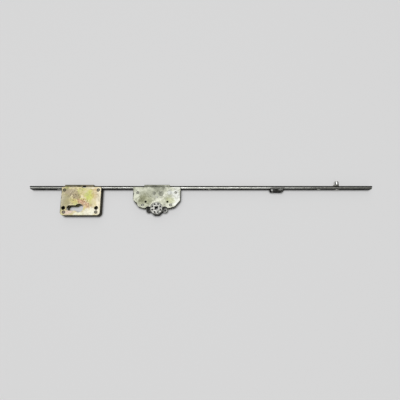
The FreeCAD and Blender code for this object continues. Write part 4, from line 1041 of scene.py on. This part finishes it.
# %% Floor
PAPER_COLOUR = (0.27, 0.27, 0.272, 1.0)
CAMERA_GLOW = 0.49
REFLECTED_GLOW = 0.36
CONTACT_REACH = 4.0 * MM
CONTACT_DEPTH = 2.4
FLOOR_HALF = 15.0
FLOOR_BELOW = 0.02 * MM
WHITE = (1.0, 1.0, 1.0, 1.0)


def pale_paper():
    material = bpy.data.materials.new("pale_paper")
    material.use_nodes = True
    tree = material.node_tree
    sockets = tree.nodes["Principled BSDF"].inputs
    sockets["Base Color"].default_value = PAPER_COLOUR
    sockets["Roughness"].default_value = 0.9
    sockets["Specular IOR Level"].default_value = 0.1
    sockets["Emission Color"].default_value = WHITE
    rays = tree.nodes.new("ShaderNodeLightPath").outputs
    seen = plus(tree, times(tree, rays["Is Camera Ray"], CAMERA_GLOW),
                times(tree, rays["Is Glossy Ray"], REFLECTED_GLOW))
    contact = add_node(tree, "ShaderNodeAmbientOcclusion", {"samples": 8}, Distance=CONTACT_REACH)
    glow = times(tree, work_out(tree, "POWER", contact.outputs["AO"], CONTACT_DEPTH), seen)
    tree.links.new(glow, sockets["Emission Strength"])
    return material


floor_height = cad_box[0][2] - FLOOR_BELOW
sheet = bmesh.new()
bmesh.ops.create_grid(sheet, x_segments=1, y_segments=1, size=FLOOR_HALF)
bmesh.ops.translate(sheet, verts=sheet.verts[:], vec=(0.0, 0.0, floor_height))
data = bpy.data.meshes.new("floor")
sheet.to_mesh(data)
sheet.free()
data.materials.append(pale_paper())
floor = bpy.data.objects.new("floor", data)
bpy.context.scene.collection.objects.link(floor)
print("floor at", round(floor_height / MM, 2), "mm")

# %% [markdown]
# ### Light
# The light is that of a tent of white cloth: a pale world that is brightest overhead and falls off to the
# horizon, faster to the left and right than in front. Round metal shows that fall as dark flanks. Near
# the top, two soft flags take light away at the right and at the left. They and a painted shade on the
# rod's right part are why the rod's edge is bright along its left two thirds and dull at the right. One
# weak soft box hangs over the part and gives the shadows a direction. Lamps alone would leave the metal
# black between their reflections.

# %% The soft box
SOFT_BOX_AT = (-0.05, 0.12, 1.5)
SOFT_BOX_AIM = (-0.05, 0.12, 0.0)
SOFT_BOX = {"shape": "RECTANGLE", "size": 1.0, "size_y": 1.2, "energy": 5.0}

lamp = bpy.data.lights.new("main_soft_box", "AREA")
for setting, value in SOFT_BOX.items():
    setattr(lamp, setting, value)
put_and_aim("main_soft_box", lamp, SOFT_BOX_AT, SOFT_BOX_AIM)
print("soft box:", SOFT_BOX)

# %% [markdown]
# ### The dome and the backdrop
# The world's strength is worked out from the direction that a ray goes in, so a few nodes make the dome
# and its two flags. A dome picture would do the same, but couldn't be tuned by a number. Views from low
# down look over the paper's edge, so the camera sees a backdrop as pale as the paper. So do reflections
# close to the horizon.

# %% World
DOME_FOOT = 0.12
DOME_RISE = 0.88
FULL_AT = 0.5
SIDEWAYS_FALL = 0.8
FLAGS_HANG = (0.72, 0.85)
RIGHT_FLAG = {"starts": 0.03, "full": 0.40, "takes": 0.94}
LEFT_FLAG = {"starts": -0.27, "full": -0.5, "takes": 0.6}
BACKDROP_STRENGTH = 0.66
BACKDROP_UP_TO = 0.15

world = bpy.data.worlds.new("studio")
bpy.context.scene.world = world
world.use_nodes = True
tree = world.node_tree
background = tree.nodes["Background"]
direction = tree.nodes.new("ShaderNodeTexCoord")
axes = add_node(tree, "ShaderNodeSeparateXYZ", None, Vector=direction.outputs["Generated"]).outputs
sideways = times(tree, work_out(tree, "ABSOLUTE", axes["X"]), SIDEWAYS_FALL)
overhead = between(tree, work_out(tree, "SUBTRACT", axes["Z"], sideways), 0.0, FULL_AT, 0.0, DOME_RISE)
high_up = between(tree, axes["Z"], *FLAGS_HANG)


def flag(starts, full, takes):
    """Share of the light that a flag takes away, in directions between its two edges."""
    return times(tree, high_up, between(tree, axes["X"], starts, full, 0.0, takes))


past_right_flag = work_out(tree, "SUBTRACT", 1.0, flag(**RIGHT_FLAG))
open_share = work_out(tree, "SUBTRACT", past_right_flag, flag(**LEFT_FLAG))
dome = plus(tree, times(tree, overhead, open_share), DOME_FOOT)
rays = tree.nodes.new("ShaderNodeLightPath").outputs
low_reflection = times(tree, rays["Is Glossy Ray"], between(tree, axes["Z"], BACKDROP_UP_TO, 0.0))
sees_backdrop = plus(tree, rays["Is Camera Ray"], low_reflection)
lit = times(tree, dome, work_out(tree, "SUBTRACT", 1.0, sees_backdrop))
strength = plus(tree, lit, times(tree, sees_backdrop, BACKDROP_STRENGTH))
tree.links.new(strength, background.inputs["Strength"])
background.inputs["Color"].default_value = WHITE
bpy.context.scene.view_settings.view_transform = "Standard"
print("nodes in the world:", len(tree.nodes))

# %% [markdown]
# ## The box round the CAD solids
# The seen part may not stand out past the CAD solids, or it would clash where they fit. So the box round
# the solids, taken at the start, is printed.

# %% Print the CAD box
print("CAD box mm", [[round(v / MM, 2) for v in corner] for corner in cad_box])
